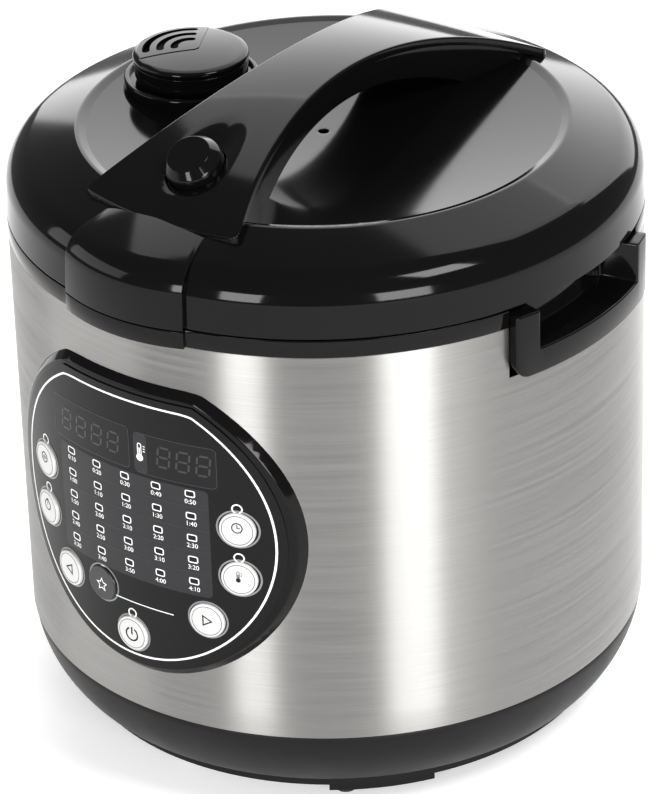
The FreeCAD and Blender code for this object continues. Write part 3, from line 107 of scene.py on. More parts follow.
def lathe(points, steps=160):
    """A turned piece; its outline is closed unless both its ends are on the axis."""
    return cleaned(spun(points, steps, closed=points[0][0] > 0 or points[-1][0] > 0))


def make_piece(name, bm, material, body, replaced=(), sharp=35):
    """Turn a bmesh into a finished piece that rides on a body and stands for CAD nodes."""
    mesh = bpy.data.meshes.new(name)
    bm.to_mesh(mesh)
    bm.free()
    mesh.shade_smooth()
    mesh.set_sharp_from_angle(angle=math.radians(sharp))
    mesh.materials.append(material)
    piece = bpy.data.objects.new(name, mesh)
    bpy.context.scene.collection.objects.link(piece)
    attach(piece, body)
    if replaced:
        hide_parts(*replaced)
    print("made", name, "with", len(mesh.polygons), "faces")
    return piece


# %% [markdown]
# ## Finishes
# Each material starts from what the real one is and how its surface was made. Colours are written as
# sRGB hex values, as read off a screen, and one function turns them to the linear values that Cycles
# adds up. One small function adds a node with its settings and links, so a recipe reads from top to
# bottom.

# %% Colour and node helpers
# Clouds of uneven colour and polish are this many times as large as the grain.
CLOUD = 60


def colour(code):
    """Linear RGBA of an sRGB hex value."""
    values = [int(code[i:i + 2], 16) / 255 for i in (1, 3, 5)]
    return [v / 12.92 if v <= 0.04045 else ((v + 0.055) / 1.055) ** 2.4 for v in values] + [1]


def add_node(tree, kind, inputs=None, **settings):
    """Add a shader node; an input that is a socket is linked, any other is set."""
    item = tree.nodes.new("ShaderNode" + kind)
    for key, value in settings.items():
        setattr(item, key, value)
    for key, value in (inputs or {}).items():
        if isinstance(value, bpy.types.NodeSocket):
            tree.links.new(value, item.inputs[key])
        else:
            item.inputs[key].default_value = value
    return item


def new_finish(name, **sockets):
    """A material whose shader has these plain values on its own sockets."""
    material = bpy.data.materials.new(name)
    material.use_nodes = True
    shader = material.node_tree.nodes["Principled BSDF"]
    for key, value in sockets.items():
        shader.inputs[key.replace("_", " ")].default_value = value
    return material, material.node_tree, shader


def feed(tree, shader, sockets):
    """Link sockets to the shader's inputs by their names."""
    for key, socket in sockets.items():
        tree.links.new(socket, shader.inputs[key])


def grained(name, dark, light, grain, rough, depth, **sockets):
    """A moulded, cast or rubbed surface: grain and its depth in mm, rough as (least, most)."""
    material, tree, shader = new_finish(name, **sockets)
    place = add_node(tree, "TexCoord").outputs["Object"]
    noise = add_node(tree, "TexNoise", {"Vector": place, "Scale": 1 / (grain * MM), "Detail": 3.0})
    cloud = add_node(tree, "TexNoise", {"Vector": place, "Scale": 1 / (CLOUD * grain * MM), "Detail": 2.0})
    blend = cloud.outputs["Fac"]
    tint = add_node(tree, "Mix", {"Factor": blend, "A": colour(dark), "B": colour(light)}, data_type="RGBA")
    level = add_node(tree, "MapRange", {"Value": blend, "From Min": 0.3, "From Max": 0.7,
                                        "To Min": rough[0], "To Max": rough[1]})
    bump = add_node(tree, "Bump", {"Height": noise.outputs["Fac"], "Distance": depth * MM, "Strength": 0.5})
    feed(tree, shader, {"Base Color": tint.outputs["Result"], "Roughness": level.outputs["Result"],
                        "Normal": bump.outputs["Normal"]})
    return material


# %% [markdown]
# ## Plastics
# Nearly all that shows on the lid is black ABS from a polished mould. Its base colour is almost
# nothing, and what is seen is its mirror. The index is set lower than that of real ABS: with lamps
# strong enough for the steel, a true index would turn the whole lid grey, and the low one keeps flat
# faces dark while grazing ones stay bright.

# %% Moulded plastics
# Polished ABS: deep black, a clear mirror with the faint waviness of a moulded skin.
gloss_abs = grained("polished_black_abs", "#080809", "#0b0b0c", 1.2, (0.07, 0.11), 0.0015, IOR=1.26)
# Satin ABS of the base: spark-eroded mould, so highlights spread wide and the black looks greyer.
satin_abs = grained("satin_black_abs", "#0a0a0b", "#0e0e0f", 0.5, (0.40, 0.50), 0.012, IOR=1.28)
# Polycarbonate film over the panel: smooth, black from behind.
panel_film = grained("black_polycarbonate_film", "#0a0a0b", "#0e0e0f", 2.0, (0.16, 0.22), 0.001, IOR=1.26)
# Silver-painted ABS keys: fine metal flake in a matt lacquer.
silver_paint = grained("silver_painted_abs", "#c9c9c8", "#d8d8d6", 0.25, (0.34, 0.44), 0.004, Metallic=0.15)
# The one black key: fine-grained, with an even sheen.
dark_key = grained("black_key_abs", "#101011", "#161618", 0.4, (0.25, 0.32), 0.004, IOR=1.53)
# Grey ABS under the lid: plain and slightly dull.
grey_abs = grained("grey_abs", "#5a5c5e", "#66686a", 0.5, (0.40, 0.50), 0.01, IOR=1.53)
# Painted shade: a near-black, dull finish for the disc under the vent's slots, in place of the shade
# inside the cap. It hardly sends any light back.
deep_shadow = grained("painted_shade_in_vent", "#050505", "#080808", 0.6, (0.70, 0.80), 0.01,
                      Specular_IOR_Level=0.2)

# %% [markdown]
# ## Inks
# The panel's marks are screen-printed on its film. Ink is a thin dull layer with slightly uneven cover,
# so each one is grained like the plastics, only finer and rougher. Image textures would be the quick
# way, but prints that are meshes stay sharp from any distance.

# %% Inks on the panel
# White ink: clean and bright, without gloss.
white_ink = grained("white_screen_ink", "#ececec", "#f6f6f6", 0.3, (0.50, 0.60), 0.002)
# Charcoal ink of the program field, and black ink of the lines between its rows.
grey_ink = grained("charcoal_screen_ink", "#242426", "#2a2a2c", 0.3, (0.30, 0.40), 0.002, IOR=1.3)
line_ink = grained("black_screen_ink", "#141415", "#18181a", 0.3, (0.30, 0.40), 0.002)
# Dark ink of the signs on the silver keys.
icon_ink = grained("dark_pad_printed_ink", "#121213", "#1a1a1b", 0.3, (0.50, 0.60), 0.002, IOR=1.3)
# Unlit display segments: barely lighter than the smoked window they lie on.
ghost_ink = grained("unlit_display_segment", "#1f1f21", "#252527", 0.3, (0.25, 0.35), 0.001)
window_ink = grained("smoked_display_window", "#141415", "#171719", 2.0, (0.16, 0.22), 0.001, IOR=1.26)
# Grey ink round each key.
silver_ink = grained("grey_edge_ink", "#77787a", "#858688", 0.3, (0.40, 0.50), 0.002)

# %% [markdown]
# ## Rubber, metals and parts inside
# What lies under the lid and inside the drum shows only when the lid is up or the part is cut open.
# Each finish is still that of its real material, so that any view of the part can be trusted.

# %% Rubber, metals and parts inside
# Rubber feet: dull and a little dusty.
rubber = grained("black_rubber", "#111111", "#191919", 0.4, (0.65, 0.80), 0.02)
# Silicone seals: milky, with a soft sheen.
silicone = grained("translucent_silicone", "#cfcfca", "#dcdcd6", 0.8, (0.35, 0.45), 0.006, IOR=1.41)
# Pressed sheet and cast aluminium: bright, with a blurred mirror.
aluminium = grained("pressed_aluminium", "#b9babb", "#c8c9ca", 0.3, (0.28, 0.38), 0.006, Metallic=1.0)
# Screws, pins and springs: drawn steel, darker and sharper.
bright_steel = grained("drawn_spring_steel", "#a9a9a8", "#bcbcba", 0.2, (0.22, 0.30), 0.004, Metallic=1.0)
# Inlet blades: brass with worn nickel.
brass = grained("nickelled_brass", "#c8b98f", "#d6c79d", 0.3, (0.22, 0.32), 0.004, Metallic=1.0)
# The pot's coating: dark grey, clouded and faintly pebbled.
pot_coating = grained("non_stick_coating", "#1c1c1d", "#3a3a3b", 0.35, (0.42, 0.55), 0.015, IOR=1.4)
# Circuit boards: green lacquer over a woven board; the parts on them are dull epoxy.
circuit_board = grained("green_solder_mask", "#17462a", "#1f5734", 0.5, (0.32, 0.42), 0.006)
component = grained("moulded_component_epoxy", "#22242a", "#2d2f36", 0.4, (0.45, 0.55), 0.01)
# Display glass is dark and clear; the lamps' resin is pale and clear.
display_glass = grained("smoked_display_glass", "#0b0b0d", "#131316", 1.0, (0.08, 0.14), 0.001, IOR=1.5)
lamp_resin = grained("clear_lamp_resin", "#d9dbdd", "#e6e8ea", 0.5, (0.18, 0.26), 0.002, IOR=1.5)
print("plain finishes:", len(bpy.data.materials))

# %% [markdown]
# ## Brushed stainless steel
# The drum is rolled from sheet that was brushed along its length, so fine scratches run round it. Each
# scratch spreads light up and down but hardly sideways, which is why lamps show as upright bands. The
# shader's anisotropy does that, with its grain direction from a UV map that is unrolled round the drum.
# The lines themselves are noise stretched along the scratch, drawn at 0.5 mm because real ones are too
# fine to show.

# %% Brushed steel
SCRATCHES = ((40, 0.5), (160, 2.2))


def brushed_steel():
    """Brushed sheet; each scratch pattern has a length and a spacing in millimetres."""
    material, tree, shader = new_finish("brushed_stainless_steel", Metallic=1.0, Anisotropic=1.0,
                                        Anisotropic_Rotation=0.25)
    place = add_node(tree, "UVMap", uv_map="unrolled").outputs["UV"]
    lines = []
    for length, spacing in SCRATCHES:
        scale = (1 / (length * MM), 1 / (spacing * MM), 1)
        stretch = add_node(tree, "Mapping", {"Vector": place, "Scale": scale}).outputs["Vector"]
        noise = add_node(tree, "TexNoise", {"Vector": stretch, "Scale": 1.0, "Detail": 2.0})
        lines.append(noise.outputs["Fac"])
    fine, broad = lines
    tint = add_node(tree, "Mix", {"Factor": fine, "A": colour("#8f8e8c"), "B": colour("#a2a19f")},
                    data_type="RGBA")
    level = add_node(tree, "MapRange", {"Value": broad, "From Min": 0.3, "From Max": 0.7,
                                        "To Min": 0.34, "To Max": 0.40})
    bump = add_node(tree, "Bump", {"Height": fine, "Distance": 0.006 * MM, "Strength": 0.6})
    grain = add_node(tree, "Tangent", direction_type="UV_MAP", uv_map="unrolled")
    feed(tree, shader, {"Base Color": tint.outputs["Result"], "Roughness": level.outputs["Result"],
                        "Normal": bump.outputs["Normal"], "Tangent": grain.outputs["Tangent"]})
    return material


steel = brushed_steel()
print("finish:", steel.name)

# %% [markdown]
# ## Camera
# A product shot like this is taken with a long lens from well away, so that the drum's sides stay
# nearly upright. The camera stands to the right of the front and looks down on the lid. It is aimed
# with a track quaternion and then turned a little about its own axis, because the real one wasn't quite
# level.

# %% Camera
CAMERA_PLACE = Vector((1.0356, -1.3157, 1.0615))
CAMERA_AIM = Vector((-0.0021, -0.0017, 0.1337))
CAMERA_ROLL = math.radians(-1.851)
CAMERA_LENS, CAMERA_SENSOR = 196.72, 36
camera = bpy.data.objects.new("camera", bpy.data.cameras.new("camera"))
camera.data.lens, camera.data.sensor_width = CAMERA_LENS, CAMERA_SENSOR
aim = (CAMERA_AIM - CAMERA_PLACE).to_track_quat("-Z", "Y").to_matrix()
aim = aim @ Matrix.Rotation(CAMERA_ROLL, 3, "Z")
camera.matrix_world = Matrix.Translation(CAMERA_PLACE) @ aim.to_4x4()
bpy.context.scene.collection.objects.link(camera)
bpy.context.scene.camera = camera
bpy.context.scene.view_settings.view_transform = "Standard"
print("camera at", [round(v, 3) for v in camera.location])

# %% [markdown]
# ## Floor
# The object stands on white paper. Here that is a disc that keeps the soft shadow under the base. Where
# the camera or a mirror sees it, a little glow lifts it towards white; matt surfaces don't get that
# glow. The disc ends before the lamps behind, since paper behind a lamp would look grey, and the white
# background takes over.

# %% Floor
FLOOR_RADIUS, FLOOR_LIFT = 1.75, 0.42


def make_floor():
    bm = bmesh.new()
    bmesh.ops.create_circle(bm, cap_ends=True, segments=96, radius=FLOOR_RADIUS)
    mesh = bpy.data.meshes.new("floor")
    bm.to_mesh(mesh)
    bm.free()
    material = bpy.data.materials.new("white_paper_floor")
    material.use_nodes = True
    tree = material.node_tree
    tree.nodes.clear()
    path = add_node(tree, "LightPath")
    seen = path.outputs["Is Camera Ray"]
    for kind in ("Is Glossy Ray", "Is Transmission Ray"):
        seen = add_node(tree, "Math", {0: seen, 1: path.outputs[kind]}, operation="MAXIMUM").outputs[0]
    lift = add_node(tree, "Math", {0: seen, 1: FLOOR_LIFT}, operation="MULTIPLY")
    paper = add_node(tree, "BsdfDiffuse", {"Color": colour("#f4f4f4")})
    glow = add_node(tree, "Emission", {"Strength": lift.outputs[0]})
    both = add_node(tree, "AddShader", {0: paper.outputs[0], 1: glow.outputs[0]})
    add_node(tree, "OutputMaterial", {"Surface": both.outputs[0]})
    mesh.materials.append(material)
    floor = bpy.data.objects.new("floor", mesh)
    bpy.context.scene.collection.objects.link(floor)
    print("floor of", len(mesh.polygons), "face")


make_floor()

# %% [markdown]
# ## Lamps
# A black glossy lid shows nothing but what it reflects, so each lamp is chosen as a reflection. A wide
# softbox behind lights the dish and the bridge, a dimmer one overhead the lid's slope. Two strips at
# the front make the upright bands on the steel, a broad dim lamp fills its left side, and a small
# window puts the streak on the lid's shoulder.

# %% Lamps
LAMP_TARGET = Vector((0, 0, 0.16))
SKY = 0.25


def softbox(name, turn, rise, distance, size, power):
    """A rectangular lamp: turn from the front to the right and rise above the floor are in degrees."""
    lamp = bpy.data.lights.new(name, "AREA")
    lamp.shape = "RECTANGLE"
    lamp.size, lamp.size_y = size
    lamp.energy = power
    turn, rise = math.radians(turn), math.radians(rise)
    way = Vector((math.sin(turn) * math.cos(rise), -math.cos(turn) * math.cos(rise), math.sin(rise)))
    item = bpy.data.objects.new(name, lamp)
    place = Matrix.Translation(LAMP_TARGET + way * distance)
    item.matrix_world = place @ (-way).to_track_quat("-Z", "Y").to_matrix().to_4x4()
    item.visible_camera = False
    bpy.context.scene.collection.objects.link(item)


def make_background():
    """White to the camera, and a dim grey to everything else."""
    world = bpy.data.worlds.new("studio")
    world.use_nodes = True
    tree = world.node_tree
    sheet = tree.nodes["Background"]
    sheet.inputs["Color"].default_value = colour("#ffffff")
    path = add_node(tree, "LightPath")
    seen = path.outputs["Is Camera Ray"]
    level = add_node(tree, "Math", {0: seen, 1: 1 - SKY, 2: SKY}, operation="MULTIPLY_ADD")
    tree.links.new(level.outputs[0], sheet.inputs["Strength"])
    bpy.context.scene.world = world


softbox("softbox_behind", 205, 24, 2.2, (2.8, 1.75), 54)
softbox("softbox_overhead", 205, 57, 1.9, (1.8, 0.75), 10.5)
softbox("strip_left", 9, 10, 2.6, (0.62, 1.0), 32)
softbox("strip_right", 63, 10, 2.6, (0.82, 1.0), 43)
softbox("fill_left", -50, 14, 2.4, (1.8, 1.0), 14)
softbox("window_right", 87, 52, 1.8, (0.5, 0.5), 14)
make_background()
print("lamps:", len(bpy.data.lights))

# %% [markdown]
# ## Base bowl
# The base is one bowl-shaped moulding. Its wall curves in from the drum to a narrow neck above the
# floor, with a thin groove where it meets the steel. A bowl could be a squashed sphere, but its curve
# is a plain arc, so the outline is that arc with a wall's thickness behind it, spun once.

# %% Base bowl


def arc(centre, radius, first, last, steps):
    """Points on an arc, angles in degrees from the radius towards the height."""
    turns = [math.radians(first + (last - first) * step / steps) for step in range(steps + 1)]
    return [Vector((centre[0] + radius * math.cos(t), centre[1] + radius * math.sin(t))) for t in turns]


def arc_through(start, finish, radius, steps):
    """The short arc of a radius that climbs from start to finish and bulges away from the axis."""
    start, finish = Vector(start), Vector(finish)
    chord = finish - start
    rise = math.sqrt(radius ** 2 - chord.length_squared / 4)
    centre = (start + finish) / 2 + Vector((-chord.y, chord.x)).normalized() * rise
    first, last = [math.degrees(math.atan2(p.y - centre.y, p.x - centre.x)) for p in (start, finish)]
    return arc(centre, radius, first, last, steps)


bowl = lathe([(104, 17.2), (104, 14.2), (122.6, 14.2)] + arc_through((123.6, 14.6), (136.5, 42.6), 48, 16)
             + [(136.2, 43.4), (135.0, 43.4), (132.2, 42.0), (120.4, 17.2)])
make_piece("base_bowl", bowl, satin_abs, "cooker", ["base_shell"])

# %% [markdown]
# ## Drum
# The drum is a sheet of 0.8 mm steel rolled into a tube, open at the sides for the carry handles and at
# the back for the inlet. Here the sheet is spun first as one skin, cut along the edges of its openings
# with bisect planes, and given its thickness last. Its UV map is unrolled in metres, for the brushed
# finish.

# %% Drum
STEEL_RADIUS, STEEL_SHEET = 137.0, 0.8
STEEL_LOW, STEEL_HIGH = 44.0, 227.6
GRIP_TURN, GRIP_LOW = math.radians(19.65), 204.2
SOCKET_HALF, SOCKET_LOW, SOCKET_HIGH = 14.0, 57.5, 78.5


def cut(bm, point, normal, trim=False):
    """Cut a mesh along a plane through a point in millimetres; trim also clears the normal's side."""
    bmesh.ops.bisect_plane(bm, geom=bm.verts[:] + bm.edges[:] + bm.faces[:], dist=1e-7,
                           plane_co=Vector(point) * MM, plane_no=normal, clear_outer=trim)


def drop_faces(bm, unwanted):
    """Delete the faces whose middle, in millimetres, is unwanted."""
    faces = [face for face in bm.faces if unwanted(face.calc_center_median() / MM)]
    bmesh.ops.delete(bm, geom=faces, context="FACES")


def in_opening(spot):
    """Whether a place on the drum is open, for a carry handle or for the inlet."""
    side = abs(math.atan2(spot.y, abs(spot.x))) < GRIP_TURN and spot.z > GRIP_LOW
    socket = spot.y > 0 and abs(spot.x) < SOCKET_HALF and SOCKET_LOW < spot.z < SOCKET_HIGH
    return side or socket


def unroll(bm):
    """A UV map in metres round the drum, whole across the seam."""
    unrolled = bm.loops.layers.uv.new("unrolled")
    for face in bm.faces:
        middle = face.calc_center_median()
        facing = math.atan2(middle.x, -middle.y)
        for loop in face.loops:
            turn = math.atan2(loop.vert.co.x, -loop.vert.co.y)
            turn = facing + math.remainder(turn - facing, math.tau)
            loop[unrolled].uv = (turn * STEEL_RADIUS * MM, loop.vert.co.z)


def make_drum():
    levels = (STEEL_LOW, STEEL_LOW + 0.5, STEEL_HIGH - 1.2, STEEL_HIGH - 0.3, STEEL_HIGH)
    radii = (STEEL_RADIUS - 0.25, STEEL_RADIUS, STEEL_RADIUS, STEEL_RADIUS - 0.05, STEEL_RADIUS - 0.35)
    bm = cleaned(spun(list(zip(radii, levels)), 192, start=(0, 1)))
    for z in (GRIP_LOW, SOCKET_LOW, SOCKET_HIGH):
        cut(bm, (0, 0, z), (0, 0, 1))
    for side in (-1, 1):
        cut(bm, (0, 0, 0), (math.sin(GRIP_TURN), side * math.cos(GRIP_TURN), 0))
        cut(bm, (side * SOCKET_HALF, 0, 0), (1, 0, 0))
    drop_faces(bm, in_opening)
    unroll(bm)
    bmesh.ops.solidify(bm, geom=bm.faces[:], thickness=STEEL_SHEET * MM)
    return bm


make_piece("drum_skin", make_drum(), steel, "cooker", ["outer_shell"])

# %% [markdown]
# ## Collar and carry handles
# The collar on the drum and the two handles are mouldings with pockets, ledges and windows that the
# solids already have. Their meshes are loose triangles, so a copy is welded, its flat triangles are
# joined to whole faces, and its sharp edges get a small bevel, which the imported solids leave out.

# %% Softened copies of solids
SHARP = math.radians(50)


def soften_edges(bm, width, segments):
    """Bevel every sharp edge by so many millimetres."""
    edges = [e for e in bm.edges if len(e.link_faces) == 2 and e.calc_face_angle(0) > SHARP]
    bmesh.ops.bevel(bm, geom=edges, offset=width * MM, segments=segments, profile=0.5, affect="EDGES",
                    material=-1, clamp_overlap=True)


def softened(node, width, segments):
    """A welded copy of a node's mesh with its sharp edges bevelled."""
    bm = bmesh.new()
    bm.from_mesh(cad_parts[node].data)
    bmesh.ops.remove_doubles(bm, verts=bm.verts, dist=WELD * MM)
    bmesh.ops.dissolve_limit(bm, verts=bm.verts, edges=bm.edges, angle_limit=math.radians(0.5))
    soften_edges(bm, width, segments)
    return bm


def moulding(name, bm, body, replaced=()):
    """A piece of polished black plastic."""
    make_piece(name, bm, gloss_abs, body, replaced)


collar = softened("top_collar", 0.3, 2)
moulding("collar_ring", collar, "cooker", ["top_collar"])
for side in ("right", "left"):
    handle = softened("carry_handle_" + side, 0.8, 3)
    moulding("grip_" + side, handle, "cooker", ["carry_handle_" + side])

# %% [markdown]
# ## Lid
# The lid is a shallow dome with a sunk dish in its middle. It could be modelled as a dome with a hole,
# but its light depends on the exact section: a drafted wall, a round shoulder, a gentle slope up to the
# rim, a soft step, and a floor that is a very shallow bowl, which bends the bridge's reflection. So the
# section is drawn once and spun.

# %% Lid shell
LID_LOW, LID_FOOT, LID_WALL = 235.8, 137.2, 2.5
SHOULDER_OUT, SHOULDER_Z, SHOULDER, SHOULDER_TURN = 136.6, 248.0, 16.0, 70
DISH_RADIUS, RIM_Z, RIM_ROUND = 105.0, 270.55, 3.0
DISH_Z, BOWL_RADIUS, BOWL_EDGE, BOWL_ROUND = 263.35, 860.0, 101.2, 2.4
HOLE = 2.2
shoulder = arc((SHOULDER_OUT - SHOULDER, SHOULDER_Z), SHOULDER, 0, SHOULDER_TURN, 18)
bowl_turn = math.degrees(math.asin(BOWL_EDGE / BOWL_RADIUS)) - 90
bowl_floor = arc((0, DISH_Z + BOWL_RADIUS), BOWL_RADIUS, bowl_turn, -89.7, 28)
under_z = DISH_Z - LID_WALL
underside = [(HOLE, under_z), (103.5, under_z), (107.5, 267.0), (127.4, 259.3), (133.4, 248.4)]
lid_section = outline(
    [(134.7, LID_LOW), (LID_FOOT, LID_LOW, 0.5)] + shoulder
    + [(DISH_RADIUS, RIM_Z, RIM_ROUND), (*bowl_floor[0], BOWL_ROUND)] + bowl_floor[1:]
    + [(HOLE, DISH_Z, 0.4)] + underside, 8)
moulding("lid_shell", lathe(lid_section, 256), "lid", ["lid_cover"])

# %% [markdown]
# ## Noses of the lid
# Over the latch in front and over the hinge behind, the lid has a proud nose. In plan a nose is flatter
# than the drum's circle, so it is spun about an axis of its own, trimmed by two planes through the
# drum's axis, and given a wall. The rear one is wider and lower.

# %% Lid noses
NOSE_AXIS, NOSE_RADIUS, NOSE_INNER, NOSE_DRAFT = 62.3, 80.0, 44.0, 0.9
NOSE_SLOPE, NOSE_SHOULDER = 17.4, 13.0
NOSE_SPIN, NOSE_WALL, NOSE_BEVEL = 70, 4.0, 1.4


def make_nose(name, facing, turn, height):
    """A proud sector of the lid; facing is -1 in front and 1 behind, turn is half its angle."""
    out = NOSE_RADIUS - NOSE_DRAFT
    section = [Vector((NOSE_RADIUS, LID_LOW)), Vector((out, height))]
    section += arc((out - NOSE_SHOULDER, height), NOSE_SHOULDER, 0, 90 - NOSE_SLOPE, 14)[1:]
    last = section[-1]
    climb = (last.x - NOSE_INNER) * math.tan(math.radians(NOSE_SLOPE))
    section.append(Vector((NOSE_INNER, last.y + climb)))
    bm = spun(section, 40, start=(0, facing), angle=math.radians(NOSE_SPIN))
    centred = Matrix.Rotation(math.radians(-NOSE_SPIN / 2), 3, "Z")
    bmesh.ops.rotate(bm, verts=bm.verts, cent=(0, 0, 0), matrix=centred)
    bmesh.ops.translate(bm, verts=bm.verts, vec=(0, facing * NOSE_AXIS * MM, 0))
    for side in (-1, 1):
        cut(bm, (0, 0, 0), (side * math.cos(turn), -facing * math.sin(turn), 0), trim=True)
    cleaned(bm)
    outwards = bm.faces[0].calc_center_median() - Vector((0, 0, 0.2))
    if bm.faces[0].normal.dot(outwards) < 0:
        bmesh.ops.reverse_faces(bm, faces=bm.faces)
    bmesh.ops.solidify(bm, geom=bm.faces[:], thickness=NOSE_WALL * MM)
    soften_edges(bm, NOSE_BEVEL, 4)
    moulding(name, bm, "lid")


make_nose("lid_nose_front", -1, math.radians(12.9), 250.2)
make_nose("lid_nose_rear", 1, math.radians(16.0), 245.0)

# %% [markdown]
# ## Bridge handle
# The bridge is an arched skin over a body with two legs, narrow in the middle and flared where it meets
# the lid. A loft between sections would do, but a flat grid that one function bends to the arch, the
# waist, the rounded rim and the thumb scoop keeps even faces. The faces inside the button's hole are
# dropped and its rim is drawn onto a circle. The skin's underside is the same grid, pulled down.

# %% Bridge skin
BRIDGE_TOP, BRIDGE_END, BRIDGE_BOW, BRIDGE_FLARE = 299.35, 109.4, 4.1, 40.0
BRIDGE_ARCH, BRIDGE_SCALLOP, BRIDGE_WAIST = 222.5, 262.0, 16.8
BRIDGE_CORNER, BRIDGE_CROWN, BRIDGE_EDGE, BRIDGE_LIP, BRIDGE_WALL = 3.0, 0.5, 0.8, 1.0, 3.0
RELEASE_Y, RELEASE_Z, RELEASE_TILT, RELEASE_HOLE = -87.0, 283.0, math.radians(30), 13.2
RELEASE_PLACE = Matrix.Translation((0, RELEASE_Y * MM, RELEASE_Z * MM))
RELEASE_PLACE = RELEASE_PLACE @ Matrix.Rotation(RELEASE_TILT, 4, "X")
SCOOP_DEPTH, SCOOP_HALF, SCOOP_BACK, SCOOP_FRONT = 4.0, 15.5, 34, 17


def bridge_half_width(y):
    return BRIDGE_WAIST + BRIDGE_SCALLOP - math.sqrt(BRIDGE_SCALLOP ** 2 - y ** 2)


def bridge_height(y):
    return BRIDGE_TOP - BRIDGE_ARCH + math.sqrt(BRIDGE_ARCH ** 2 - y ** 2)


def scoop(x, y):
    """How far the thumb scoop dips: deepest at the button, long towards the middle of the bridge."""
    along = y - RELEASE_Y
    near = math.hypot(x / SCOOP_HALF, along / (SCOOP_BACK if along > 0 else SCOOP_FRONT))
    return SCOOP_DEPTH * (0.5 + 0.5 * math.cos(math.pi * min(near, 1)))


def rounded_off(near, radius):
    """How far a rounded edge falls at a distance from its rim."""
    return radius - math.sqrt(radius ** 2 - max(radius - near, 0) ** 2)


def bridge_point(across, along):
    """A place on the skin; across and along run from -1 to 1 between its edges."""
    corner = max(abs(across) - 1 + BRIDGE_CORNER / BRIDGE_FLARE, 0) * BRIDGE_FLARE
    end = BRIDGE_END + BRIDGE_BOW * (1 - across ** 2)
    end = end - BRIDGE_CORNER + math.sqrt(BRIDGE_CORNER ** 2 - corner ** 2)
    y = along * end
    half = bridge_half_width(min(abs(y), BRIDGE_END))
    x = across * half
    near = min((1 - abs(across)) * half, (1 - abs(along)) * end)
    fall = scoop(x, y) + BRIDGE_CROWN * across ** 2 + rounded_off(near, BRIDGE_EDGE)
    return Vector((x, y, bridge_height(y) - fall)) * MM


def cut_button_hole(bm):
    """Drop the faces inside the button's hole and draw the rim that is left onto a true circle."""
    to_button = RELEASE_PLACE.inverted()

    def from_axis(point):
        local = to_button @ point
        return math.hypot(local.x, local.y) / MM
    inside = [f for f in bm.faces if from_axis(f.calc_center_median()) < RELEASE_HOLE]
    bmesh.ops.delete(bm, geom=inside, context="FACES")
    for vert in bm.verts:
        if vert.is_boundary and from_axis(vert.co) < RELEASE_HOLE + 4:
            local = to_button @ vert.co
            away = Vector((local.x, local.y, 0))
            local += away.normalized() * (RELEASE_HOLE * MM - away.length)
            vert.co = RELEASE_PLACE @ local


def make_bridge_skin():
    bm = bmesh.new()
    bmesh.ops.create_grid(bm, x_segments=44, y_segments=170, size=1)
    for vert in bm.verts:
        # The sine crowds the grid's lines towards the rims, where the edge is rounded.
        vert.co = bridge_point(math.sin(vert.co.x * math.pi / 2), math.sin(vert.co.y * math.pi / 2))
    cut_button_hole(bm)
    under = bmesh.ops.extrude_face_region(bm, geom=bm.faces[:], use_keep_orig=True)["geom"]
    for vert in (item for item in under if isinstance(item, bmesh.types.BMVert)):
        # Both ends get a deeper lip, which closes the gap above the lid's slope.
        vert.co.z -= (BRIDGE_WALL + BRIDGE_LIP * (vert.co.y / (BRIDGE_END * MM)) ** 6) * MM
    bmesh.ops.recalc_face_normals(bm, faces=bm.faces)
    return bm


moulding("bridge_skin", make_bridge_skin(), "lid", ["bridge_top"])
bridge_body = softened("bridge_bottom", 0.8, 3)
moulding("bridge_body", bridge_body, "lid", ["bridge_bottom"])

# %% [markdown]
# ## Release button
# The button is a turned cap with a flat top, softly rounded sides and a stem that reaches the latch. It
# leans forward in its hole. Drawing it in place would mean a tilted lathe, so the cap is spun upright
# and then set on the button's axis with one matrix.

# %% Release button
release_cap = lathe(outline([
    (0, 6.6), (9.3, 6.6, 0.6), (12.6, 2.6, 3.6), (12.6, -9.0, 0.4), (10.6, -9.0), (10.6, -6.8),
    (4.0, -6.8), (4.0, -36.0), (0, -36.0)], 8), 96)
bmesh.ops.transform(release_cap, matrix=RELEASE_PLACE, verts=release_cap.verts)
moulding("release_cap", release_cap, "release_button", ["release_button"])

# %% [markdown]
# ## Steam vent
# A round collar stands in the dish, and a lift-off cap sits in it. The cap's top is a low dome, which
# spreads the softbox into an even sheen where a flat top would be all bright or all dark. Collar and
# cap are spun, and the dome's faces are left out where a fan-shaped plate for the steam goes.

# %% Vent collar and cap
VENT_X = -72.0
VENT_TOP, CAP_LOW, CAP_TOP = 272.35, 272.65, 284.15
DOME_RADIUS, DOME_EDGE, DOME_RISE = 170.0, 82.2, 0.8
FAN_AIM, FAN_HALF = math.radians(174), math.radians(55)
FAN_REACH, FAN_MARGIN = 23.2, 4.0


def at_vent(bm):
    """Move a piece that was spun at the origin to the vent's own axis."""
    bmesh.ops.translate(bm, verts=bm.verts, vec=(VENT_X * MM, 0, 0))
    return bm


def dome_height(reach):
    """Height of the cap's domed top at a distance from its axis."""
    return CAP_TOP + DOME_RISE - DOME_RADIUS + math.sqrt(DOME_RADIUS ** 2 - reach ** 2)


def in_fan(spot, inset):
    """Whether a place on the cap lies inside the fan's straight sides."""
    sides = [FAN_AIM + side * FAN_HALF for side in (-1, 1)]
    left = spot.y * math.cos(sides[1]) - spot.x * math.sin(sides[1])
    right = spot.x * math.sin(sides[0]) - spot.y * math.cos(sides[0])
    return max(left, right) < FAN_MARGIN - inset and math.hypot(spot.x, spot.y) < FAN_REACH - inset


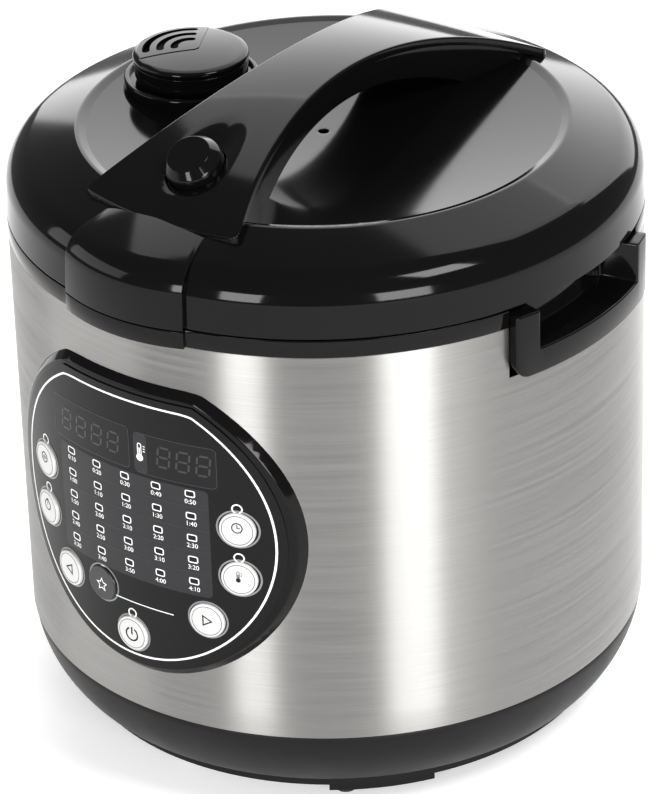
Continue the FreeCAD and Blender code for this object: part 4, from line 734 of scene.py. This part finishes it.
vent_ring = lathe(outline([
    (9.05, DISH_Z), (29.5, DISH_Z), (29.5, VENT_TOP, 1.0), (27.2, VENT_TOP, 0.5), (27.2, VENT_TOP - 1.8),
    (24.0, VENT_TOP - 1.8), (24.0, DISH_Z + 2.5), (9.05, DISH_Z + 2.5)]), 128)
moulding("vent_ring", at_vent(vent_ring), "lid", ["vent_collar"])
cap_dome = arc((0, dome_height(0) - DOME_RADIUS), DOME_RADIUS, 90, DOME_EDGE, 24)
cap_shell = lathe(outline(cap_dome + [
    (25.3, CAP_TOP - 1.6, 1.4), (25.3, CAP_TOP - 3.4, 0.4), (24.5, CAP_TOP - 3.6), (24.5, CAP_TOP - 4.3),
    (25.0, CAP_TOP - 4.5, 0.3), (24.7, CAP_LOW, 0.8), (23.7, CAP_LOW), (23.7, CAP_LOW - 6.5),
    (21.5, CAP_LOW - 6.5), (21.5, CAP_TOP - 4.6), (0, CAP_TOP - 4.6)]), 180)
drop_faces(cap_shell, lambda spot: in_fan(spot, 0.4) and spot.z > dome_height(spot.xy.length) - 0.2)
moulding("vent_cap_shell", at_vent(cap_shell), "vent_cap", ["vent_cap"])

# %% [markdown]
# ## Fan plate of the vent
# The plate has three arc slots with round ends, on the side away from the bridge. Boolean cuts would
# leave ragged faces on a dome. Instead a fine domed disc is spun and trimmed by three planes, the faces
# within half a slot's width of its middle line are dropped, and the points on the slot's edge are drawn
# onto it. Below lies a near-black disc of painted shade, in place of the dark inside of the cap.

# %% Slotted fan on the cap
SLOT_HALF, SLOTS, SLOT_WIDTH, SLOT_CATCH = math.radians(50), (7.0, 13.2, 19.4), 3.4, 0.6
FAN_RINGS, FAN_PROUD, FAN_WALL = 36, 0.3, 1.6
SHADE_RADIUS, SHADE_DEPTH = FAN_REACH - 1.2, 4.3


def to_slot(spot, reach):
    """The nearest point on a slot's middle line, which is an arc, and the way from it to a place."""
    turn = math.remainder(math.atan2(spot.y, spot.x) - FAN_AIM, math.tau)
    turn = FAN_AIM + max(-SLOT_HALF, min(SLOT_HALF, turn))
    nearest = Vector((reach * math.cos(turn), reach * math.sin(turn), 0))
    return nearest, Vector((spot.x, spot.y, 0)) - nearest


def cut_slot(bm, reach):
    drop_faces(bm, lambda spot: to_slot(spot, reach)[1].length < SLOT_WIDTH / 2)
    for vert in bm.verts:
        nearest, away = to_slot(vert.co / MM, reach)
        if vert.is_boundary and abs(away.length - SLOT_WIDTH / 2) < SLOT_CATCH:
            spot = nearest + away.normalized() * SLOT_WIDTH / 2
            vert.co.x, vert.co.y = spot.x * MM, spot.y * MM


def make_fan():
    pitch = FAN_REACH / FAN_RINGS
    line = [(step * pitch, dome_height(step * pitch) + FAN_PROUD) for step in range(FAN_RINGS + 1)]
    bm = cleaned(spun(line, 180))
    ways = []
    for side in (-1, 1):
        turn = FAN_AIM + side * FAN_HALF
        ways.append(Vector((-math.sin(turn), math.cos(turn), 0)) * side)
    ways.append(Vector((math.cos(FAN_AIM), math.sin(FAN_AIM), 0)) * -1)
    for way in ways:
        cut(bm, way * FAN_MARGIN, way, trim=True)
    for reach in SLOTS:
        cut_slot(bm, reach)
    bmesh.ops.recalc_face_normals(bm, faces=bm.faces)
    if bm.faces[0].normal.z < 0:
        bmesh.ops.reverse_faces(bm, faces=bm.faces)
    bmesh.ops.solidify(bm, geom=bm.faces[:], thickness=FAN_WALL * MM)
    return bm


moulding("vent_fan", at_vent(make_fan()), "vent_cap")
# Painted shade: a thin near-black disc under the slots stands in for the shade inside the cap.
shade_top, shade_low = CAP_TOP - SHADE_DEPTH, CAP_TOP - SHADE_DEPTH - 0.2
vent_shade_disc = lathe([(0, shade_top), (SHADE_RADIUS, shade_top), (SHADE_RADIUS, shade_low), (0, shade_low)], 64)
make_piece("vent_shade_disc", at_vent(vent_shade_disc), deep_shadow, "vent_cap")

# %% [markdown]
# ## Control panel
# The panel is a black bezel that follows the drum, under a printed film. Everything on it is drawn flat
# first, as the film is printed: x across, y up, z out from the face. It is then cut into upright strips
# and bent round the drum's axis, so straight lines up the panel stay straight and nothing floats.

# %% Flat shapes and the bend
PANEL_Z = 140.0
BEZEL_RADIUS, FILM_RADIUS = 140.35, 141.15
INK = 0.06
STRIP, STRIP_SHIFT = 3.0, 0.013


def faces_of(made):
    """The faces that an operator has made."""
    return list({face for vert in made["verts"] for face in vert.link_faces})


def disc(bm, x, y, radius, segments=48, turn=0):
    """A flat round or many-sided face about a point."""
    place = Matrix.Translation((x * MM, y * MM, 0)) @ Matrix.Rotation(math.radians(turn), 4, "Z")
    made = bmesh.ops.create_circle(bm, cap_ends=True, segments=segments, radius=radius * MM, matrix=place)
    return faces_of(made)


def plate(bm, x, y, width, height, corner=0):
    """A flat rectangle about a point, with its corners rounded."""
    place = Matrix.Translation((x * MM, y * MM, 0)) @ Matrix.Diagonal((width * MM, height * MM, 1, 1))
    made = bmesh.ops.create_grid(bm, x_segments=1, y_segments=1, size=0.5, matrix=place)
    if corner:
        made = bmesh.ops.bevel(bm, geom=made["verts"], offset=corner * MM, segments=5, profile=0.5,
                               affect="VERTICES", material=-1)
    return faces_of(made)


def hollow(bm, faces, width):
    """Keep only a line of a width along the edge of flat faces."""
    bmesh.ops.inset_region(bm, faces=faces, thickness=width * MM, use_boundary=True, use_even_offset=True)
    bmesh.ops.delete(bm, geom=faces, context="FACES")


def raised(bm, thick):
    """Give flat faces a thickness, from the face they lie on outwards."""
    bmesh.ops.recalc_face_normals(bm, faces=bm.faces)
    bmesh.ops.reverse_faces(bm, faces=[face for face in bm.faces if face.normal.z < 0])
    bmesh.ops.solidify(bm, geom=bm.faces[:], thickness=thick * MM)
    low = min(vert.co.z for vert in bm.verts)
    bmesh.ops.translate(bm, verts=bm.verts, vec=(0, 0, -low))
    return bm


def bent(bm, radius):
    """Bend a flat piece round the drum, with its z = 0 at a radius; it is cut into upright strips first."""
    count = int(max(abs(vert.co.x) for vert in bm.verts) / MM / STRIP)
    for step in range(-count, count + 1):
        # The small shift keeps the cuts off points that are already there.
        cut(bm, (step * STRIP + STRIP_SHIFT, 0, 0), (1, 0, 0))
    bmesh.ops.triangulate(bm, faces=[face for face in bm.faces if len(face.verts) > 4])
    for vert in bm.verts:
        turn = math.asin(vert.co.x / (radius * MM))
        out = radius * MM + vert.co.z
        vert.co = (out * math.sin(turn), -out * math.cos(turn), vert.co.y)
    return bm


def printed(name, bm, material, level=0.0):
    """Finish a flat drawing as ink on the panel's film; level stacks one ink on another."""
    return make_piece(name, bent(raised(bm, INK), FILM_RADIUS + level), material, "cooker")


def panel_outline(bm, radius, chord, corner):
    """The panel's round outline as one flat face; its top is cut flat at a chord above the middle."""
    disc(bm, 0, PANEL_Z, radius, 160)
    cut(bm, (0, PANEL_Z + chord, 0), (0, 1, 0), trim=True)
    top = [vert for vert in bm.verts if abs(vert.co.y - (PANEL_Z + chord) * MM) < 1e-6]
    bmesh.ops.bevel(bm, geom=top, offset=corner * MM, segments=8, profile=0.5, affect="VERTICES",
                    material=-1)
    return bm.faces[:]


# %% [markdown]
# ## Bezel and film
# The bezel's face is smaller than its foot, so its side slopes. A lofted solid would do; here the foot
# is drawn, pulled out to the face's level, and the face is scaled about the panel's middle before the
# edges are rounded. The film is the same outline, a little smaller, and a white line is printed inside
# its edge.

# %% Bezel and film
BEZEL_FOOT, BEZEL_FACE, BEZEL_CHORD, BEZEL_CORNER = 75.4, 71.6, 67.0, 9
BEZEL_SUNK, BEZEL_ROUND = 0.3, 0.9
FILM, BORDER, BORDER_LINE = (70.2, 61.4, 8), (66.9, 58.2, 6), 0.9


def make_bezel():
    bm = bmesh.new()
    foot = panel_outline(bm, BEZEL_FOOT, BEZEL_CHORD, BEZEL_CORNER)
    top = bmesh.ops.extrude_face_region(bm, geom=foot, use_keep_orig=True)["geom"]
    verts = [item for item in top if isinstance(item, bmesh.types.BMVert)]
    bmesh.ops.translate(bm, verts=verts, vec=(0, 0, (BEZEL_RADIUS - STEEL_RADIUS + BEZEL_SUNK) * MM))
    middle = Matrix.Translation((0, PANEL_Z * MM, 0))
    shrink = Matrix.Diagonal((BEZEL_FACE / BEZEL_FOOT, BEZEL_FACE / BEZEL_FOOT, 1, 1))
    bmesh.ops.transform(bm, verts=verts, matrix=middle @ shrink @ middle.inverted())
    bmesh.ops.recalc_face_normals(bm, faces=bm.faces)
    rim = [edge for edge in bm.edges if all(vert in verts for vert in edge.verts)]
    bmesh.ops.bevel(bm, geom=rim, offset=BEZEL_ROUND * MM, segments=3, profile=0.5, affect="EDGES",
                    material=-1, clamp_overlap=True)
    return bent(bm, STEEL_RADIUS - BEZEL_SUNK)


moulding("panel_bezel_body", make_bezel(), "cooker", ["panel_bezel"])
film = bmesh.new()
panel_outline(film, *FILM)
film = bent(raised(film, FILM_RADIUS - BEZEL_RADIUS), BEZEL_RADIUS)
make_piece("panel_face_film", film, panel_film, "cooker", ["panel_overlay"])
border = bmesh.new()
hollow(border, panel_outline(border, *BORDER), BORDER_LINE)
printed("panel_border_line", border, white_ink)

# %% [markdown]
# ## Program field
# Under the displays lies a charcoal field with five rows of five small lamp windows, each with a white
# outline and a plain cooking time below it. The rows are parted by thin dark lines. The numbers start
# as text, are made a mesh at once, and then take the same bend as every other print.

# %% Program field
FIELD_LEFT, FIELD_RIGHT, FIELD_LOW, FIELD_HIGH = -39.5, 40.0, 111.8, 163.4
LAMP_PITCH, ROW_PITCH, ROW_TOP = 16.0, 10.55, 160.9
ROWS, COLUMNS = 5, 5
ROW_LINE_X, ROW_LINE_LONG, ROW_LINE = 3.4, 73, 0.4
LAMP_FRAME, LAMP_LINE, LAMP_WINDOW = (4.6, 3.3, 0.9), 0.55, (3.6, 2.3, 0.5)
LABEL_DROP, LABEL_SIZE = 3.9, 3.0
MINUTES = 10


def lamp_spots():
    """Number and place of each lamp, row by row."""
    for row in range(ROWS):
        for column in range(COLUMNS):
            yield row * COLUMNS + column + 1, (column - 2) * LAMP_PITCH, ROW_TOP - row * ROW_PITCH


def add_text(bm, text, x, y, size):
    """Add the faces of a short text, centred at a point."""
    curve = bpy.data.curves.new("label", "FONT")
    curve.body = text
    curve.size = size * MM
    curve.align_x = "CENTER"
    curve.align_y = "CENTER"
    item = bpy.data.objects.new("label", curve)
    mesh = bpy.data.meshes.new_from_object(item)
    mesh.transform(Matrix.Translation((x * MM, y * MM, 0)))
    bm.from_mesh(mesh)
    bpy.data.objects.remove(item)
    bpy.data.curves.remove(curve)
    bpy.data.meshes.remove(mesh)


field = bmesh.new()
plate(field, (FIELD_LEFT + FIELD_RIGHT) / 2, (FIELD_LOW + FIELD_HIGH) / 2, FIELD_RIGHT - FIELD_LEFT,
      FIELD_HIGH - FIELD_LOW, 2.0)
printed("program_field", field, grey_ink)
lines = bmesh.new()
for row in range(1, ROWS):
    plate(lines, ROW_LINE_X, ROW_TOP - (row - 0.4) * ROW_PITCH, ROW_LINE_LONG, ROW_LINE)
printed("program_row_lines", lines, line_ink, INK)
frames, lamps, labels = bmesh.new(), bmesh.new(), bmesh.new()
for number, x, y in lamp_spots():
    hollow(frames, plate(frames, x, y, *LAMP_FRAME), LAMP_LINE)
    plate(lamps, x, y, *LAMP_WINDOW)
    hours, minutes = divmod(number * MINUTES, 60)
    add_text(labels, "%d:%02d" % (hours, minutes), x, y - LABEL_DROP, LABEL_SIZE)
printed("lamp_frames", frames, white_ink, INK)
printed("lamp_windows", lamps, window_ink, INK)
printed("lamp_numbers", labels, white_ink, INK)

# %% [markdown]
# ## Displays
# Two smoked windows show unlit seven-segment digits, dim grey on black. A digit is seven slim bars, so
# one function lays the bars, slanted a little, and is called for each digit. A grey strip with a
# thermometer parts the windows.

# %% Displays
DIGIT_WIDTH, DIGIT_HALF, DIGIT_LEAN, DIGIT_BAR = 5.6, 4.6, 0.1, 0.9
DIGIT_PLACES, DIGIT_Y = (-34, -24.5, -15, -5.5, 20.5, 29.5, 38.5), 175.2
WINDOWS = ((-42.5, 3.4, 165.4, 185.2), (5.8, 44.2, 165.0, 184.2))
WINDOW_CORNER, WINDOW_LINE = 2.2, 0.3
STRIP_PLATE = (9.2, 174.6, 6.6, 18.6, 1.6)


def add_digit(bm, x, y):
    """The seven bars of an unlit digit about its middle."""
    start = len(bm.verts)
    for level in (-1, 0, 1):
        plate(bm, x, y + level * DIGIT_HALF, DIGIT_WIDTH - 1.6, DIGIT_BAR)
    for side in (-1, 1):
        for half in (-0.5, 0.5):
            plate(bm, x + side * DIGIT_WIDTH / 2, y + half * DIGIT_HALF, DIGIT_BAR, DIGIT_HALF - 1.3)
    bm.verts.ensure_lookup_table()
    for vert in bm.verts[start:]:
        vert.co.x += (vert.co.y - y * MM) * DIGIT_LEAN


windows, window_lines, digits = bmesh.new(), bmesh.new(), bmesh.new()
for left, right, low, high in WINDOWS:
    shape = ((left + right) / 2, (low + high) / 2, right - left, high - low, WINDOW_CORNER)
    plate(windows, *shape)
    hollow(window_lines, plate(window_lines, *shape), WINDOW_LINE)
for x in DIGIT_PLACES:
    add_digit(digits, x, DIGIT_Y)
printed("display_windows", windows, window_ink)
printed("display_window_lines", window_lines, ghost_ink, INK)
printed("display_digits", digits, ghost_ink, INK)
strip = bmesh.new()
plate(strip, *STRIP_PLATE)
printed("display_strip", strip, grey_ink, 1.5 * INK)


def add_thermometer(bm, x, y, scale):
    """An outlined bulb and stem with three marks beside it."""
    hollow(bm, plate(bm, x, y + 1.3 * scale, 2.2 * scale, 6.4 * scale, 1.05 * scale), 0.42 * scale)
    disc(bm, x, y - 2.4 * scale, 1.7 * scale, 24)
    plate(bm, x, y, 0.7 * scale, 4.4 * scale)
    for step in range(3):
        plate(bm, x + 2.3 * scale, y + (0.9 + 1.2 * step) * scale, 1.0 * scale, 0.4 * scale)


thermometer = bmesh.new()
add_thermometer(thermometer, 8.8, 174.8, 1.0)
printed("display_thermometer", thermometer, white_ink, 2.5 * INK)

# %% [markdown]
# ## Keys
# Eight round keys stand a little proud of the film. Seven are painted silver with a thin printed ring
# and a dark plain sign; one is black with a light ring. Each key is spun about its own axis with its
# sign drawn on its flat top, and one matrix sets both on the drum. A stem behind the cap reaches its
# switch; the switches stand on a flat board, so a key further round the drum has a shorter stem.

# %% Keys and their signs
KEY_RADIUS, KEY_TOP = 8.0, 142.35
KEY_BACK, KEY_STEM, KEY_TIP = 136.55, 2.0, 126.3
KEY_RING, KEY_RING_LINE = 6.9, 0.22
# Each key's turn from the front in degrees and its height.
KEYS = {
    "clock": (21.5, 147.5), "warm": (-21.5, 147.5), "heat": (21.5, 124.0), "delay": (-21.5, 124.0),
    "next": (15.3, 101.0), "back": (-15.3, 101.0), "favourite": (-6.5, 103.0), "power": (0.0, 84.0),
}


def ring(bm, x, y, radius, width):
    hollow(bm, disc(bm, x, y, radius, 40), width)


def draw_dial(bm):
    ring(bm, 0, 1.2, 2.5, 0.5)


def draw_clock(bm):
    draw_dial(bm)
    plate(bm, 0, 2.0, 0.4, 1.7)
    plate(bm, 0.6, 1.2, 1.4, 0.4)


def draw_heat(bm):
    add_thermometer(bm, -0.4, 1.0, 0.62)


def draw_warm(bm):
    draw_dial(bm)
    for step in (-1, 0, 1):
        plate(bm, step * 1.0, 1.2, 0.4, 2.2 - abs(step) * 0.8)


def draw_delay(bm):
    draw_dial(bm)
    plate(bm, 0, 2.0, 0.4, 1.7)
    plate(bm, 0, 4.1, 1.6, 0.5)


def draw_next(bm):
    hollow(bm, disc(bm, -0.4, 0, 3.2, 3, -90), 0.6)


def draw_back(bm):
    hollow(bm, disc(bm, 0.4, 0, 3.2, 3, 90), 0.6)


def draw_favourite(bm):
    star = disc(bm, 0, -0.6, 3.4, 10)
    for index, vert in enumerate(star[0].verts):
        if index % 2:
            vert.co = Vector((0, -0.6 * MM, 0)).lerp(vert.co, 0.5)
    hollow(bm, star, 0.45)


def draw_power(bm):
    ring(bm, 0, -0.3, 3.4, 0.75)
    drop_faces(bm, lambda spot: abs(spot.x) < 1.3 and spot.y > 0)
    plate(bm, 0, 1.4, 0.8, 3.6)


SIGNS = {"clock": draw_clock, "heat": draw_heat, "warm": draw_warm, "delay": draw_delay, "next": draw_next,
         "back": draw_back, "favourite": draw_favourite, "power": draw_power}
for key, (turn, height) in KEYS.items():
    place = Matrix.Translation((0, 0, height * MM)) @ Matrix.Rotation(math.radians(turn), 4, "Z")
    place = place @ Matrix.Rotation(math.radians(90), 4, "X")
    dark = key == "favourite"
    tip = KEY_TIP / math.cos(math.radians(turn))
    cap = lathe(outline([
        (0, KEY_TOP), (KEY_RADIUS, KEY_TOP, 0.6), (KEY_RADIUS, KEY_BACK), (KEY_STEM, KEY_BACK),
        (KEY_STEM, tip), (0, tip - KEY_STEM)], 4), 64)
    bmesh.ops.transform(cap, matrix=place, verts=cap.verts)
    make_piece("key_" + key, cap, dark_key if dark else silver_paint, key + "_button",
               [key + "_button"])
    sign = bmesh.new()
    SIGNS[key](sign)
    if key != "favourite":
        ring(sign, 0, 0, KEY_RING, KEY_RING_LINE)
    raised(sign, INK)
    bmesh.ops.transform(sign, matrix=place @ Matrix.Translation((0, 0, KEY_TOP * MM)), verts=sign.verts)
    make_piece("key_sign_" + key, sign, white_ink if dark else icon_ink, key + "_button")

# %% [markdown]
# ## Rings round the keys
# A grey line is printed round each key, and a small white ring above most of them marks a lamp. A thin
# line runs from the black key across the panel. They lie on the film and not on the keys, so they stay
# still when a key is pressed.

# %% Lamp rings and key surrounds
LAMP_RISE, LAMP_RISE_DARK, LAMP_RING, LAMP_RING_LINE = 9.7, 6.1, 2.3, 0.6
SURROUND, SURROUND_LINE = 1.0, 0.75
DASH = (6.0, 99.4, 31.0, 0.45)
rings, surrounds = bmesh.new(), bmesh.new()
for key, (turn, height) in KEYS.items():
    x = FILM_RADIUS * math.sin(math.radians(turn))
    ring(surrounds, x, height, KEY_RADIUS + SURROUND, SURROUND_LINE)
    if key not in ("next", "back"):
        rise = LAMP_RISE_DARK if key == "favourite" else LAMP_RISE
        ring(rings, x, height + rise, LAMP_RING, LAMP_RING_LINE)
plate(rings, *DASH)
printed("key_lamp_rings", rings, white_ink, INK / 3)
printed("key_surrounds", surrounds, silver_ink)
print("keys:", ", ".join(KEYS))

# %% [markdown]
# ## What is left of the frame
# The pieces inside, and small ones such as screws and feet, are already right as solids, so they stay
# as they are and only get the finish of their real material. Modelling them again would add triangles
# that nobody sees.

# %% Finishes on kept nodes
KEPT = (
    (satin_abs, ("base_plate", "power_inlet")),
    (grey_abs, ("lid_liner", "latch_slider")),
    (rubber, ("rubber_feet",)),
    (silicone, ("lid_gasket", "lid_grommet", "vent_tube")),
    (pot_coating, ("inner_pot",)),
    (aluminium, ("inner_liner", "heating_plate", "sensor_sleeve", "temperature_sensor", "inner_lid")),
    (bright_steel, ("base_screws", "lid_screws", "bridge_screws", "hinge_pin", "heating_element",
                    "heater_posts", "sensor_spring", "release_spring")),
    (brass, ("inlet_pins",)),
    (circuit_board, ("power_board", "control_board")),
    (component, ("board_components", "panel_switches")),
    (display_glass, ("display_left", "display_right")),
    (lamp_resin, ("program_lights",)),
)
for material, names in KEPT:
    for name in names:
        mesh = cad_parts[name].data
        mesh.materials.clear()
        mesh.materials.append(material)
    print("finished", ", ".join(names), "in", material.name)
